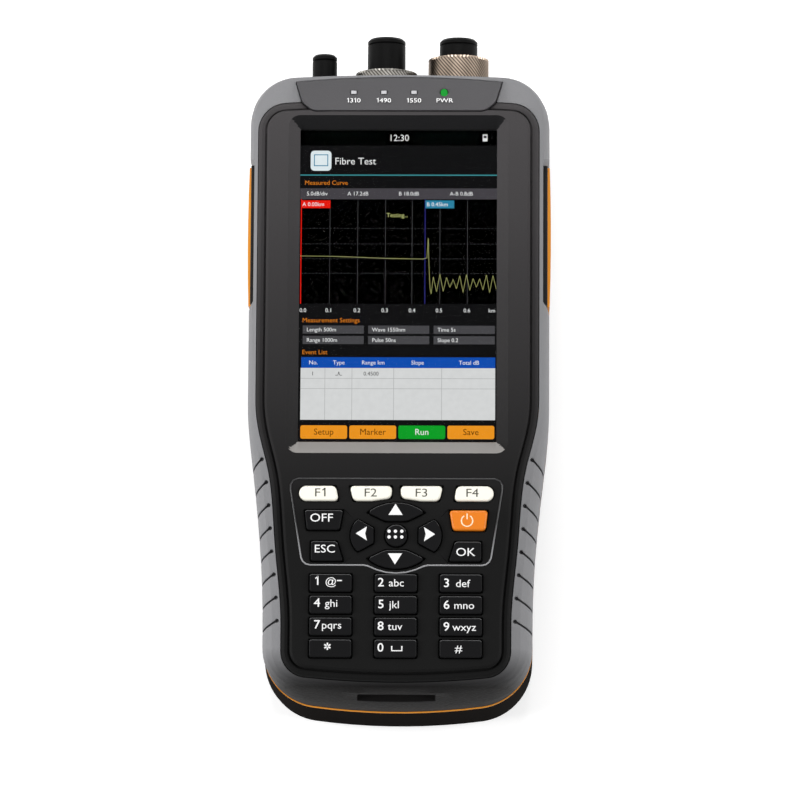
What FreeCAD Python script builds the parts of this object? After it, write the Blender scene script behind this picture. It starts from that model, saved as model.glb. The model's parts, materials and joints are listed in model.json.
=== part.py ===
"""Handheld optical time domain reflectometer, as a parametric assembly.

The instrument lies on its back: +Z comes out of the display, +Y runs towards the
optical ports and +X is to the right as the display is read.  Stations along the body
are measured from its foot end; every piece is then placed by the same offset, so that
the origin is the middle of the footprint, on the surface the instrument lies on.
"""
import FreeCAD, Part
import math
import os
import Sketcher

Vector = FreeCAD.Vector
doc = FreeCAD.newDocument("Reflectometer")
sheet = doc.addObject("Spreadsheet::Sheet", "Sizes")
parts = []

# Driving dimensions, in millimetres (angles in degrees).
DIMENSIONS = {
    # heights of the stacked housing
    "rear_height": 25.4, "frame_thickness": 1.2, "face_height": 57.0, "rim_step": 3.0,
    "back_gap": 1.0, "rear_edge_radius": 5.0,
    # widest outline, shared by the bumpers and the orange frame
    "upper_half": 51.8, "hip_half": 49.8, "grip_half": 47.2, "ankle_half": 46.2,
    "waist_at": 110.0, "hip_at": 86.0, "grip_at": 60.0, "ankle_at": 33.0,
    "head_reach": 20.7, "end_radius": 16.0, "end_bow": 700.0, "foot_at": 2.2,
    "foot_radius": 20.0, "foot_bow": 220.0, "seam_foot_in": 3.7,
    # rim line, where the front bumper meets the front housing
    "rim_upper_in": 3.7, "rim_hip_in": 6.2, "rim_grip_in": 6.2, "rim_ankle_in": 7.4,
    "rim_head_reach": 10.4, "rim_end_radius": 10.0, "rim_foot_in": 12.0,
    "rim_foot_radius": 9.0, "rim_foot_bow": 300.0,
    # walls and fits
    "wall": 2.2, "face_wall": 3.2, "bumper_wall": 4.8, "lip": 4.4,
    "fit": 0.2, "running": 0.3, "rim_band": 3.0, "groove": 0.6, "groove_deep": 0.6,
    "skirt_drop": 1.8,
    # display
    "window_border": 14.45, "window_tall": 107.7, "window_foot_at": 95.6, "bezel": 3.9,
    "bezel_low": 4.1, "bezel_high": 4.5, "bezel_round": 4.0, "window_round": 0.5,
    "recess_radius": 2.7, "glass_edge": 3.0, "glass": 1.6,
    "gasket": 0.8, "display_thick": 4.2, "glass_depth": 3.2, "window_lip": 0.6,
    # indicator panel and lamps
    "panel_in": 16.5, "panel_foot_in": 5.9, "panel_foot_reach": 6.1,
    "panel_waist_in": 2.3, "panel_waist_reach": 9.1, "panel_head_reach": 18.5,
    "panel_corner_in": 1.7, "panel_drop": 4.5, "panel_deep": 6.5, "panel_rise": 0.5,
    "panel_round": 4.0, "lamp_reach": 12.8, "lamp_pitch": 10.3, "lamp_wide": 1.8,
    "lamp_tall": 1.1, "power_lamp_radius": 1.15, "lamp_deep": 5.0, "lamp_shy": 1.6,
    # keys
    "key_proud": 1.1, "key_travel": 0.8, "key_gap": 0.3, "key_deep": 3.6, "stem_half": 1.5,
    "stem_spare": 0.5, "mat_deep": 4.6, "mat_thick": 1.4, "stem_fit": 0.3,
    "pad_pitch_x": 21.9, "pad_pitch_y": 7.35, "pad_foot_at": 25.3, "pad_wide": 14.2,
    "pad_tall": 6.0, "function_at": 77.7, "function_tall": 5.1, "function_outer": 32.8,
    "function_end": 2.6, "function_inner": 19.5, "function_lean": 0.9,
    "function_mid_outer": 15.7, "function_mid_inner": 1.4, "function_mid_lean": 1.2,
    "function_mid_turn": 8.3, "function_mid_cut": 0.95,
    "side_head_inner": 17.9, "side_head_outer": 30.9, "side_foot_inner": 19.1,
    "side_foot_outer": 30.1, "off_at": 68.6, "side_key_tall": 6.7, "power_tall": 6.9,
    "escape_at": 58.1, "escape_head_inner": 19.9, "escape_foot_inner": 17.8,
    "escape_outer": 28.7,
    "cluster_at": 63.4, "centre_key_radius": 3.7, "cluster_half": 15.3, "cluster_rise": 11.2,
    "arrow_root_half": 3.6, "arrow_root_y": 4.9, "arrow_wing_half": 9.6, "arrow_wing_y": 7.8,
    "arrow_root_x": 7.6, "arrow_wing_x": 12.9, "arrow_wing_tall": 5.4, "arrow_side_half": 2.5,
    "key_edge": 0.35,
    # grips, side windows and foot slot of the front bumper
    "notch_first": 34.9, "notch_pitch": 7.84, "notch_wide": 0.6, "notch_long": 9.0,
    "notch_angle": 27.0, "notch_turn": 1.7, "notch_fall": 21.0, "notch_hole_radius": 0.65,
    "notch_inset": 0.6, "notch_deep": 1.6,
    "side_window_at": 144.0, "side_window_long": 49.0, "side_window_in": 2.4,
    "side_window_fall": 20.0, "side_slant": 0.9, "beyond": 9.0,
    "side_panel_bulge": 0.4, "side_panel_thick": 0.8, "side_panel_fall": 14.0, "frame_wide": 7.0,
    "frame_proud": 0.1,
    "side_pad_fall": 9.5, "slot_wide": 26.4, "slot_tall": 3.4, "slot_in": 6.9,
    "slot_fall": 13.0,
    # port end
    "port_height": 28.0, "bay_half": 36.0, "bay_low": 14.0, "bay_high": 42.0, "bay_reach": 9.7,
    "end_panel_thick": 2.5, "end_flange": 1.6,
    "trace_port_x": -5.1, "meter_port_x": 20.0, "pen_port_x": -26.7,
    "adapter_radius": 5.0, "adapter_nut_radius": 8.6, "adapter_base": 4.0,
    "ferrule_radius": 1.25, "ferrule_deep": 14.0,
    "trace_ring_radius": 10.7, "trace_ring_reach": 15.8, "trace_ring_long": 9.0,
    "meter_ring_radius": 10.5, "meter_ring_reach": 16.7, "meter_ring_long": 13.0,
    "trace_cap_radius": 6.6, "pen_cap_radius": 4.3, "pen_tube_radius": 3.1,
    "trace_cap_reach": 37.1, "meter_cap_reach": 36.9, "pen_cap_reach": 31.5,
    "cap_top": 1.6, "cap_step": 0.8, "cap_slack": 0.8, "cap_gap": 0.5, "ring_edge": 0.8,
    "knurl_radius": 0.8,
    # electronics
    "board": 1.6, "board_gap": 1.6, "board_wing": 6.35, "main_board_foot": 95.0,
    "board_short": 4.3, "post_radius": 3.0, "post_inset": 2.6,
    "key_board_half": 35.0, "key_board_foot": 19.0, "key_board_head": 86.0,
    "optics_low": 22.0, "optics_foot": 138.0, "optics_reach": 1.7, "optics_half": 13.0,
    "detector_foot": 184.0, "detector_half": 8.0, "laser_foot": 172.0, "laser_radius": 5.5,
    "laser_nose": 1.3,
    # back
    "shell_low": 2.2, "battery_half": 33.0, "battery_foot": 30.0, "battery_head": 88.0,
    "battery_top": 22.0, "door_thick": 2.4, "door_edge": 3.0, "door_ledge": 2.0, "door_tab": 8.0,
    "door_rib": 1.6, "door_grip_half": 14.0,
    "stand_half": 27.0, "stand_foot": 106.0, "stand_pivot_at": 186.0, "stand_thick": 3.0,
    "stand_barrel": 2.5, "stand_pin_radius": 1.2, "stand_pin_fit": 0.05, "stand_pin_end": 3.0,
    "stand_recess_edge": 8.0, "stand_recess": 1.2, "stand_gap": 0.5, "stand_roof": 7.0, "scoop_radius": 7.0,
    "screw_head_radius": 2.9, "screw_radius": 1.5, "screw_head": 2.0, "screw_seat": 4.2,
    "screw_in": 13.3, "screw_foot_side": 31.0, "screw_foot_at": 21.7, "screw_short": 1.3,
    "boss_web": 2.0,
    "screw_short_tip": 4.0, "screw_boss": 4.4, "boss_fall": 4.0, "door_screw_side": 26.0,
    "board_screw_radius": 1.1, "board_screw_head_radius": 2.1, "board_screw_head": 1.2,
    "board_screw_long": 6.0, "door_boss": 3.2,
}


def write_sheet():
    """Write every driving dimension to the sheet as a plain number with an alias."""
    for row, (name, value) in enumerate(DIMENSIONS.items(), start=1):
        sheet.set("A%d" % row, name)
        sheet.set("B%d" % row, str(value))
        sheet.setAlias("B%d" % row, name)
    doc.recompute()


class Size:
    """A length that keeps its value together with the sheet expression behind it."""

    def __init__(self, value, text):
        self.value, self.text = float(value), text

    @staticmethod
    def of(other):
        return other if isinstance(other, Size) else Size(other, "(%s)" % repr(float(other)))

    def _join(self, other, sign, value):
        return Size(value, "(%s %s %s)" % (self.text, sign, Size.of(other).text))

    def __add__(self, other):
        return self._join(other, "+", self.value + Size.of(other).value)

    def __radd__(self, other):
        return Size.of(other) + self

    def __sub__(self, other):
        return self._join(other, "-", self.value - Size.of(other).value)

    def __rsub__(self, other):
        return Size.of(other) - self

    def __mul__(self, other):
        return self._join(other, "*", self.value * Size.of(other).value)

    def __rmul__(self, other):
        return Size.of(other) * self

    def __truediv__(self, other):
        return self._join(other, "/", self.value / Size.of(other).value)

    def __neg__(self):
        return Size(0, "(0)") - self


class Sheet:
    """The sheet's dimensions as attributes, such as size.wall."""

    def __getattr__(self, name):
        return Size(sheet.get(name), "Sizes.%s" % name)


size = Sheet()


def bind(item, prop, length):
    """Tie one property of an object to a size."""
    item.setExpression(prop, Size.of(length).text)


# --- heights and stations that several pieces share ---------------------------------

def shared():
    """Work out the levels that come from more than one driving dimension."""
    size.front_low = size.rear_height + size.frame_thickness
    size.rim_height = size.face_height - size.rim_step
    size.skirt_top = size.face_height - size.skirt_drop
    size.glass_top = size.face_height - size.glass_depth
    size.glass_low = size.glass_top - size.glass
    size.display_top = size.glass_low - size.gasket
    size.display_low = size.display_top - size.display_thick
    size.inner_face = size.face_height - size.face_wall
    size.key_top = size.face_height + size.key_proud
    size.key_base = size.face_height - size.key_deep
    size.mat_top = size.face_height - size.mat_deep
    size.stem_long = size.key_travel + size.stem_spare
    size.mat_low = size.mat_top - size.mat_thick
    size.key_board_low = size.mat_low - size.board
    size.main_board_top = size.display_low - size.board_gap
    size.main_board_low = size.main_board_top - size.board
    size.boss_top = size.main_board_low - size.boss_fall
    size.screw_tip = size.boss_top - size.screw_short_tip
    size.panel_low = size.face_height - size.panel_deep
    size.lamp_low = size.face_height - size.lamp_deep
    size.lamp_top = size.face_height - size.lamp_shy
    size.notch_floor = size.rim_height - size.notch_fall
    size.side_window_floor = size.rim_height - size.side_window_fall
    size.side_panel_top = size.rim_height - size.side_panel_fall
    size.side_pad_top = size.rim_height - size.side_pad_fall
    size.slot_floor = size.rim_height - size.slot_fall
    size.stand_low = size.back_gap + size.stand_gap
    size.stand_pivot_z = size.stand_low + size.stand_barrel
    size.rim_upper_half = size.upper_half - size.rim_upper_in
    size.rim_hip_half = size.hip_half - size.rim_hip_in
    size.rim_grip_half = size.grip_half - size.rim_grip_in
    size.rim_ankle_half = size.ankle_half - size.rim_ankle_in
    size.window_wide = (size.rim_upper_half - size.window_border) * 2
    size.main_board_half = display_half() + size.board_wing
    size.panel_half = size.upper_half - size.panel_in
    size.panel_foot_half = size.panel_half - size.panel_foot_in
    size.panel_waist_half = size.panel_half - size.panel_waist_in
    size.side_window_half = size.upper_half - size.side_window_in
    size.panel_inner = size.upper_half - size.side_panel_thick
    size.screw_side = size.upper_half - size.screw_in
    size.window_at = size.window_foot_at + size.window_tall / 2
    size.window_head = size.window_foot_at + size.window_tall
    size.head_at = size.window_head + size.head_reach
    size.rim_head_at = size.window_head + size.rim_head_reach
    size.rim_foot_at = size.foot_at + size.rim_foot_in
    size.slot_at = size.foot_at + size.slot_in
    size.panel_foot_at = size.window_head + size.panel_foot_reach
    size.panel_waist_at = size.window_head + size.panel_waist_reach
    size.panel_head_at = size.window_head + size.panel_head_reach
    size.panel_corner_at = size.panel_head_at - size.panel_corner_in
    size.lamp_at = size.window_head + size.lamp_reach
    size.bay_at = size.window_head + size.bay_reach
    size.trace_ring_at = size.window_head + size.trace_ring_reach
    size.meter_ring_at = size.window_head + size.meter_ring_reach
    size.trace_cap_end = size.window_head + size.trace_cap_reach
    size.meter_cap_end = size.window_head + size.meter_cap_reach
    size.pen_cap_end = size.window_head + size.pen_cap_reach
    size.main_board_head = size.window_head - size.board_short
    size.optics_head = size.window_head + size.optics_reach
    size.laser_head = size.optics_head + size.laser_nose
    size.screw_head_at = size.window_head - size.screw_short
    size.foot_y = -(size.foot_at + size.trace_cap_end) / 2


class Outline:
    """A plan outline: bowed ends, round corners and a side that tapers to the grip."""

    SIDES = ("upper", "hip", "grip", "ankle", "head", "head_radius", "head_bow",
             "foot_radius", "foot_bow")

    def __init__(self, **sides):
        self.__dict__.update(sides)

    def inset(self, distance):
        moved = {name: getattr(self, name) - distance for name in self.SIDES}
        return Outline(**{**self.__dict__, **moved, "foot": self.foot + distance})

    def towards(self, other, side, foot, head):
        """The outline part of the way to another, by a share for its sides, foot and head."""
        moved = {}
        for name in self.SIDES + ("foot",):
            ends = head if name.startswith("head") else foot
            share = side if name in ("upper", "hip", "grip", "ankle") else ends
            moved[name] = getattr(self, name) * (1 - share) + getattr(other, name) * share
        return Outline(**{**self.__dict__, **moved})

    @staticmethod
    def _corner(half, end, radius, bow, way):
        """Where the corner arc leaves the end arc, its middle, and where it meets the side."""
        centre_y = end - way * bow
        corner_y = centre_y + way * math.sqrt((bow - radius) ** 2 - (half - radius) ** 2)
        corner = Vector(half - radius, corner_y, 0)
        out = Vector(half - radius, corner_y - centre_y, 0).normalize()
        middle = (out + Vector(1, 0, 0)).normalize()
        return Vector(0, centre_y, 0) + out * bow, corner + middle * radius, Vector(half, corner_y, 0)

    def wire(self, height):
        head = self._corner(self.upper, self.head, self.head_radius, self.head_bow, 1)
        foot = self._corner(self.ankle, self.foot, self.foot_radius, self.foot_bow, -1)
        waist, ankle = Vector(self.upper, self.waist_at, 0), Vector(self.ankle, self.ankle_at, 0)
        taper = Part.BSplineCurve()
        taper.interpolate(
            Points=[waist, Vector(self.hip, self.hip_at, 0), Vector(self.grip, self.grip_at, 0), ankle],
            InitialTangent=Vector(0, -1, 0), FinalTangent=Vector(0, -1, 0))
        right = [Part.Arc(*head).toShape(), Part.makeLine(head[2], waist), taper.toShape(),
                 Part.makeLine(ankle, foot[2]), Part.Arc(foot[2], foot[1], foot[0]).toShape()]
        left = [edge.mirror(Vector(), Vector(1, 0, 0)) for edge in right]
        flip = lambda point: Vector(-point.x, point.y, 0)
        ends = [Part.Arc(flip(head[0]), Vector(0, self.head, 0), head[0]).toShape(),
                Part.Arc(flip(foot[0]), Vector(0, self.foot, 0), foot[0]).toShape()]
        wire = Part.Wire(Part.__sortEdges__(right + left + ends))
        wire.translate(Vector(0, 0, height))
        return wire


def outlines():
    """The widest outline, the seam outline and the rim outline."""
    of = lambda name: getattr(size, name).value
    at = {name: of(name) for name in ("waist_at", "hip_at", "grip_at", "ankle_at")}
    wide = Outline(upper=of("upper_half"), hip=of("hip_half"), grip=of("grip_half"),
                   ankle=of("ankle_half"), head=of("head_at"), head_radius=of("end_radius"),
                   head_bow=of("end_bow"), foot=of("foot_at"), foot_radius=of("foot_radius"),
                   foot_bow=of("foot_bow"), **at)
    seam = Outline(**{**wide.__dict__, "foot": of("foot_at") + of("seam_foot_in")})
    rim = Outline(upper=of("rim_upper_half"), hip=of("rim_hip_half"), grip=of("rim_grip_half"),
                  ankle=of("rim_ankle_half"), head=of("rim_head_at"),
                  head_radius=of("rim_end_radius"), head_bow=of("end_bow"),
                  foot=of("rim_foot_at"), foot_radius=of("rim_foot_radius"),
                  foot_bow=of("rim_foot_bow"), **at)
    return wide, seam, rim


def lofted(levels):
    """A solid through outlines given as (outline, height) pairs, flat between them."""
    return Part.makeLoft([outline.wire(height) for outline, height in levels], True, True)


def prism(outline, low, high):
    """A straight-sided solid of an outline between two heights."""
    return Part.Face(outline.wire(low)).extrude(Vector(0, 0, high - low))


# --- document helpers -----------------------------------------------------------------

def keep(item, label):
    """Name a finished sub-part, place it on the footprint's middle and list it."""
    item.Label = label
    parts.append(item)
    return item


def feature(label, shape):
    """A moulded piece whose form is set with Part's own functions."""
    item = doc.addObject("Part::Feature", label)
    item.Shape = shape.removeSplitter()
    bind(item, "Placement.Base.y", size.foot_y)
    return keep(item, label)


def new_body(label, x=0.0, y=None, z=0.0):
    """A PartDesign body standing at a station of the instrument."""
    body = doc.addObject("PartDesign::Body", label)
    bind(body, "Placement.Base.x", x)
    bind(body, "Placement.Base.y", size.foot_y + (0.0 if y is None else y))
    bind(body, "Placement.Base.z", z)
    return keep(body, label)


def new_sketch(body, name, role="XY_Plane", offset=0.0):
    """An empty sketch on one of the body's origin planes."""
    sketch = body.newObject("Sketcher::SketchObject", name)
    plane = next(item for item in body.Origin.OriginFeatures if item.Role == role)
    sketch.AttachmentSupport = [(plane, "")]
    sketch.MapMode = "FlatFace"
    bind(sketch, "AttachmentOffset.Base.z", offset)
    return sketch


def pin(sketch, kind, *where):
    """Add one dimension to a sketch, tied to its size."""
    length = Size.of(where[-1])
    index = sketch.addConstraint(Sketcher.Constraint(kind, *where[:-1], length.value))
    sketch.setExpression("Constraints[%d]" % index, length.text)


def polygon(sketch, points):
    """A closed outline; a point (x, y, rise) starts a side that bows outwards by rise."""
    first = sketch.GeometryCount
    corners = [(Size.of(point[0]), Size.of(point[1])) for point in points]
    for index, (x, y) in enumerate(corners):
        end_x, end_y = corners[(index + 1) % len(corners)]
        start, end = Vector(x.value, y.value, 0), Vector(end_x.value, end_y.value, 0)
        if len(points[index]) == 3:
            rise = Size.of(points[index][2])
            side = (end - start).cross(Vector(0, 0, 1)).normalize()
            sketch.addGeometry(Part.Arc(start, (start + end) / 2 + side * rise.value, end))
        else:
            sketch.addGeometry(Part.LineSegment(start, end))
    for index, (x, y) in enumerate(corners):
        here, after = first + index, first + (index + 1) % len(corners)
        starts = sketch.Geometry[here].StartPoint.distanceToPoint(Vector(x.value, y.value, 0)) < 1e-6
        pin(sketch, "DistanceX", -1, 1, here, 1 if starts else 2, x)
        pin(sketch, "DistanceY", -1, 1, here, 1 if starts else 2, y)
        goal = Vector(corners[(index + 1) % len(corners)][0].value,
                      corners[(index + 1) % len(corners)][1].value, 0)
        begins = sketch.Geometry[after].StartPoint.distanceToPoint(goal) < 1e-6
        sketch.addConstraint(Sketcher.Constraint("Coincident", here, 2 if starts else 1,
                                                 after, 1 if begins else 2))
        if len(points[index]) == 3:
            end_x, end_y = corners[(index + 1) % len(corners)]
            rise = Size.of(points[index][2])
            half_square = ((end_x - x) * (end_x - x) + (end_y - y) * (end_y - y)) / 4
            pin(sketch, "Radius", here, (half_square + rise * rise) / (2 * rise))


def rectangle(sketch, low_x, high_x, low_y, high_y):
    """A rectangle between two edges each way."""
    polygon(sketch, [(low_x, low_y), (high_x, low_y), (high_x, high_y), (low_x, high_y)])


def circle(sketch, x, y, radius):
    """A circle about a point."""
    x, y, radius = Size.of(x), Size.of(y), Size.of(radius)
    index = sketch.addGeometry(Part.Circle(Vector(x.value, y.value, 0), Vector(0, 0, 1), radius.value))
    pin(sketch, "Radius", index, radius)
    pin(sketch, "DistanceX", -1, 1, index, 3, x)
    pin(sketch, "DistanceY", -1, 1, index, 3, y)


def pad(body, sketch, length, name="Pad", both_ways=False):
    """Raise a sketch by a length, or by half of it each way."""
    doc.recompute()
    item = body.newObject("PartDesign::Pad", name)
    item.Profile = sketch
    item.Midplane = both_ways
    bind(item, "Length", length)
    body.Tip = item
    return item


def pocket(body, sketch, depth=None, upwards=False, both_ways=False, name="Pocket"):
    """Cut a sketch into the body, downwards unless told, right through with no depth."""
    doc.recompute()
    item = body.newObject("PartDesign::Pocket", name)
    item.Profile = sketch
    item.Reversed = upwards
    item.Midplane = both_ways
    if depth is None:
        item.Type = "ThroughAll"
    else:
        bind(item, "Length", depth)
    body.Tip = item
    return item


def turned(body, name, points):
    """A revolved piece: points are (radius, height along +Y)."""
    sketch = new_sketch(body, name + "_profile")
    polygon(sketch, points)
    doc.recompute()
    item = body.newObject("PartDesign::Revolution", name)
    item.Profile = sketch
    item.ReferenceAxis = (sketch, ["V_Axis"])
    item.Angle = 360.0
    body.Tip = item
    return item


def edges_where(item, test):
    """The names of a feature's edges that pass a test."""
    return ["Edge%d" % (index + 1) for index, edge in enumerate(item.Shape.Edges) if test(edge)]


def upright(edge):
    """Whether an edge is straight and parallel to Z."""
    points = [vertex.Point for vertex in edge.Vertexes]
    return len(points) == 2 and (points[0] - points[1]).cross(Vector(0, 0, 1)).Length < 1e-6


def round_edges(body, base, radius, test, kind="PartDesign::Fillet"):
    """Fillet or chamfer the edges of a feature that pass a test."""
    doc.recompute()
    item = body.newObject(kind, kind.split("::")[1])
    item.Base = (base, edges_where(base, test))
    bind(item, "Radius" if kind.endswith("Fillet") else "Size", radius)
    body.Tip = item
    return item


def slab(label, edges, low, high, corner=None):
    """A plate with edges (low x, high x, low station, high station) and round corners."""
    body = new_body(label)
    sketch = new_sketch(body, label + "_outline", offset=low)
    rectangle(sketch, *edges)
    item = pad(body, sketch, high - low)
    if corner is not None:
        item = round_edges(body, item, corner, upright)
    return body, item


def solid_box(low_x, high_x, low_y, high_y, low_z, high_z):
    """A box between two planes each way, for shapes made with Part's functions."""
    lows = [Size.of(low).value for low in (low_x, low_y, low_z)]
    highs = [Size.of(high).value for high in (high_x, high_y, high_z)]
    return Part.makeBox(*[high - low for low, high in zip(lows, highs)], Vector(*lows))


def flat_face(points, height, grow=0.0):
    """A face inside polygon-style points at a height, offset outwards by grow."""
    corners = [Vector(Size.of(point[0]).value, Size.of(point[1]).value, 0) for point in points]
    sides = []
    for index, start in enumerate(corners):
        end = corners[(index + 1) % len(corners)]
        if len(points[index]) == 3:
            out = (end - start).cross(Vector(0, 0, 1)).normalize()
            middle = (start + end) / 2 + out * Size.of(points[index][2]).value
            sides.append(Part.Arc(start, middle, end).toShape())
        else:
            sides.append(Part.makeLine(start, end))
    face = Part.Face(Part.Wire(sides))
    if grow:
        face = face.makeOffset2D(grow, join=2)
    face.translate(Vector(0, 0, Size.of(height).value))
    return face


def raised(points, low, high, grow=0.0):
    """A straight-sided solid of polygon-style points between two heights."""
    return flat_face(points, low, grow).extrude(Vector(0, 0, (Size.of(high) - low).value))


# --- keys -----------------------------------------------------------------------------

def leaning_key(way, head, foot, station, tall):
    """A four-sided key on one side (way is -1 or 1) from its inner and outer x at head and foot."""
    low, high = station - tall / 2, station + tall / 2
    return sided(way, [(foot[0], low), (foot[1], low), (head[1], high), (head[0], high)])


def sided(way, points):
    """Key points as they are for the right side, or turned over for the left."""
    if way > 0:
        return points
    turned_over = [(-point[0], point[1]) for point in reversed(points)]
    for index, point in enumerate(points):
        if len(point) == 3:
            start = len(points) - 2 - index
            turned_over[start] = (*turned_over[start], point[2])
    return turned_over


def function_key(way, middle):
    """One of the four function keys: a rounded outer end, or a cut corner over the cluster."""
    low, high = size.function_at - size.function_tall / 2, size.function_at + size.function_tall / 2
    if middle:
        inner, outer = size.function_mid_inner, size.function_mid_outer
        return sided(way, [(inner + size.key_gap, low + size.function_mid_cut), (size.function_mid_turn, low),
                           (outer - size.function_mid_lean, low), (outer, high), (inner, high)])
    inner, end = size.function_inner, size.function_outer - size.function_end
    return sided(way, [(inner, low), (end, low, size.function_end), (end, high),
                       (inner + size.function_lean, high)])


def arrow_key(x_way, y_way):
    """One of the four keys of the cluster, bowed on its outer side."""
    if y_way:
        points = [(-size.arrow_root_half, size.arrow_root_y), (size.arrow_root_half, size.arrow_root_y),
                  (size.arrow_wing_half, size.arrow_wing_y, size.cluster_rise - size.arrow_wing_y),
                  (-size.arrow_wing_half, size.arrow_wing_y)]
    else:
        points = [(size.arrow_root_x, -size.arrow_side_half), (size.arrow_wing_x, -size.arrow_wing_tall),
                  (size.arrow_wing_x, size.arrow_wing_tall), (size.arrow_root_x, size.arrow_side_half)]
        points[1] = (*points[1], size.cluster_half - size.arrow_wing_x)
    if x_way + y_way < 0:
        points = [(-point[0], -point[1], *point[2:]) for point in points]
    return [(point[0], size.cluster_at + point[1], *point[2:]) for point in points]


def key_outlines():
    """Every key that is not round, by node name, with the point its stem stands under."""
    keys = {}
    middle = (size.function_mid_inner + size.function_mid_outer) / 2
    outer = (size.function_inner + size.function_outer) / 2
    for name, way, mid, x in (("key_f1", -1, False, outer), ("key_f2", -1, True, middle),
                              ("key_f3", 1, True, middle), ("key_f4", 1, False, outer)):
        keys[name] = (function_key(way, mid), way * x, size.function_at)
    top, foot = (size.side_head_inner, size.side_head_outer), (size.side_foot_inner, size.side_foot_outer)
    low_top = size.escape_head_inner, size.escape_outer
    low_foot = size.escape_foot_inner, size.escape_outer
    for name, way, head, base, station, tall in (
            ("key_off", -1, top, foot, size.off_at, size.side_key_tall),
            ("key_escape", -1, low_top, low_foot, size.escape_at, size.side_key_tall),
            ("key_power", 1, top, foot, size.off_at, size.power_tall),
            ("key_enter", 1, low_top, low_foot, size.escape_at, size.side_key_tall)):
        keys[name] = (leaning_key(way, head, base, station, tall), way * (head[0] + head[1]) / 2, station)
    up_y, side_x = (size.arrow_root_y + size.cluster_rise) / 2, (size.arrow_root_x + size.cluster_half) / 2
    for name, x_way, y_way in (("key_up", 0, 1), ("key_down", 0, -1),
                               ("key_left", -1, 0), ("key_right", 1, 0)):
        keys[name] = (arrow_key(x_way, y_way), x_way * side_x, size.cluster_at + y_way * up_y)
    for index, name in enumerate("1 2 3 4 5 6 7 8 9 star 0 hash".split()):
        x = (index % 3 - 1) * size.pad_pitch_x
        station = size.pad_foot_at + (3 - index // 3) * size.pad_pitch_y
        half_x, half_y = size.pad_wide / 2, size.pad_tall / 2
        points = [(x - half_x, station - half_y), (x + half_x, station - half_y),
                  (x + half_x, station + half_y), (x - half_x, station + half_y)]
        keys["key_" + name] = (points, x, station)
    return keys


def finish_key(body, cap, x, station):
    """Ease a key's top edge and add the square stem that reaches into the mat."""
    top = size.key_top.value - 1e-4
    round_edges(body, cap, size.key_edge, lambda edge: edge.BoundBox.ZMin > top, "PartDesign::Chamfer")
    stem = new_sketch(body, body.Label + "_stem", offset=size.key_base - size.stem_long)
    half = size.stem_half
    rectangle(stem, x - half, x + half, station - half, station + half)
    pad(body, stem, size.stem_long + size.key_edge, "Stem")


def key_caps(keys):
    """The key caps: prisms with an eased top edge, and the round centre key."""
    for label, (points, x, station) in keys.items():
        body = new_body(label)
        sketch = new_sketch(body, label + "_outline", offset=size.key_base)
        polygon(sketch, points)
        finish_key(body, pad(body, sketch, size.key_top - size.key_base), x, station)
    body = new_body("key_centre")
    sketch = new_sketch(body, "key_centre_outline", offset=size.key_base)
    circle(sketch, 0, size.cluster_at, size.centre_key_radius)
    finish_key(body, pad(body, sketch, size.key_top - size.key_base), 0, size.cluster_at)


def key_mat(keys):
    """The elastomer mat that carries the keys, with a hole for each stem, and its board."""
    edges = (-size.key_board_half, size.key_board_half, size.key_board_foot, size.key_board_head)
    body, _ = slab("keypad_mat", edges, size.mat_low, size.mat_top, size.recess_radius)
    holes = new_sketch(body, "mat_holes", offset=size.mat_top)
    half = size.stem_half + size.stem_fit
    for x, station in [key[1:] for key in keys.values()] + [(0, size.cluster_at)]:
        rectangle(holes, x - half, x + half, station - half, station + half)
    pocket(body, holes)
    slab("keypad_board", edges, size.key_board_low, size.mat_low, size.recess_radius)


# --- moulded housing ------------------------------------------------------------------

def panel_points():
    """The indicator panel: a trapezoid that narrows twice towards the display."""
    return [(-size.panel_foot_half, size.panel_foot_at), (size.panel_foot_half, size.panel_foot_at),
            (size.panel_waist_half, size.panel_waist_at),
            (size.panel_half, size.panel_corner_at, size.panel_head_at - size.panel_corner_at),
            (-size.panel_half, size.panel_corner_at), (-size.panel_waist_half, size.panel_waist_at)]


def panel_block(low, high, grow=0.0):
    """The indicator panel's plan with its lower corners rounded, between two heights."""
    solid = raised(panel_points(), low, high, grow)
    turn = size.panel_corner_at.value - 1
    corners = [edge for edge in solid.Edges if upright(edge) and edge.BoundBox.YMax < turn]
    return solid.makeFillet(size.panel_round.value - grow, corners)


def panel_cut():
    """The room that the indicator panel takes from the shells, open upwards."""
    return panel_block(size.panel_low - size.fit, size.face_height + size.beyond, size.fit.value)


def above_panel():
    """What lies above the indicator panel's sloping top."""
    foot, head, more = size.panel_foot_at.value, (size.head_at + size.beyond).value, size.beyond.value
    top = (size.face_height + size.panel_rise).value
    fall = size.panel_drop.value * (head - foot) / (size.panel_head_at.value - foot)
    corners = [(foot - more, top), (foot, top), (head, top - fall), (head, top + more),
               (foot - more, top + more)]
    points = [Vector(-size.upper_half.value, y, z) for y, z in corners]
    return Part.Face(Part.makePolygon(points + points[:1])).extrude(Vector(2 * size.upper_half.value, 0, 0))


def indicator_panel():
    """The smooth panel over the top edge, with a seat for each lamp."""
    solid = panel_block(size.panel_low, size.face_height + size.panel_rise)
    solid = solid.cut(above_panel())
    rise = Vector(0, 0, (size.lamp_deep + size.beyond).value)
    seats = [lamp_form(index, size.fit.value).extrude(rise) for index in range(4)]
    for seat in seats:
        seat.translate(Vector(0, 0, size.lamp_low.value))
    return feature("indicator_panel", solid.cut(seats))


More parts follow.
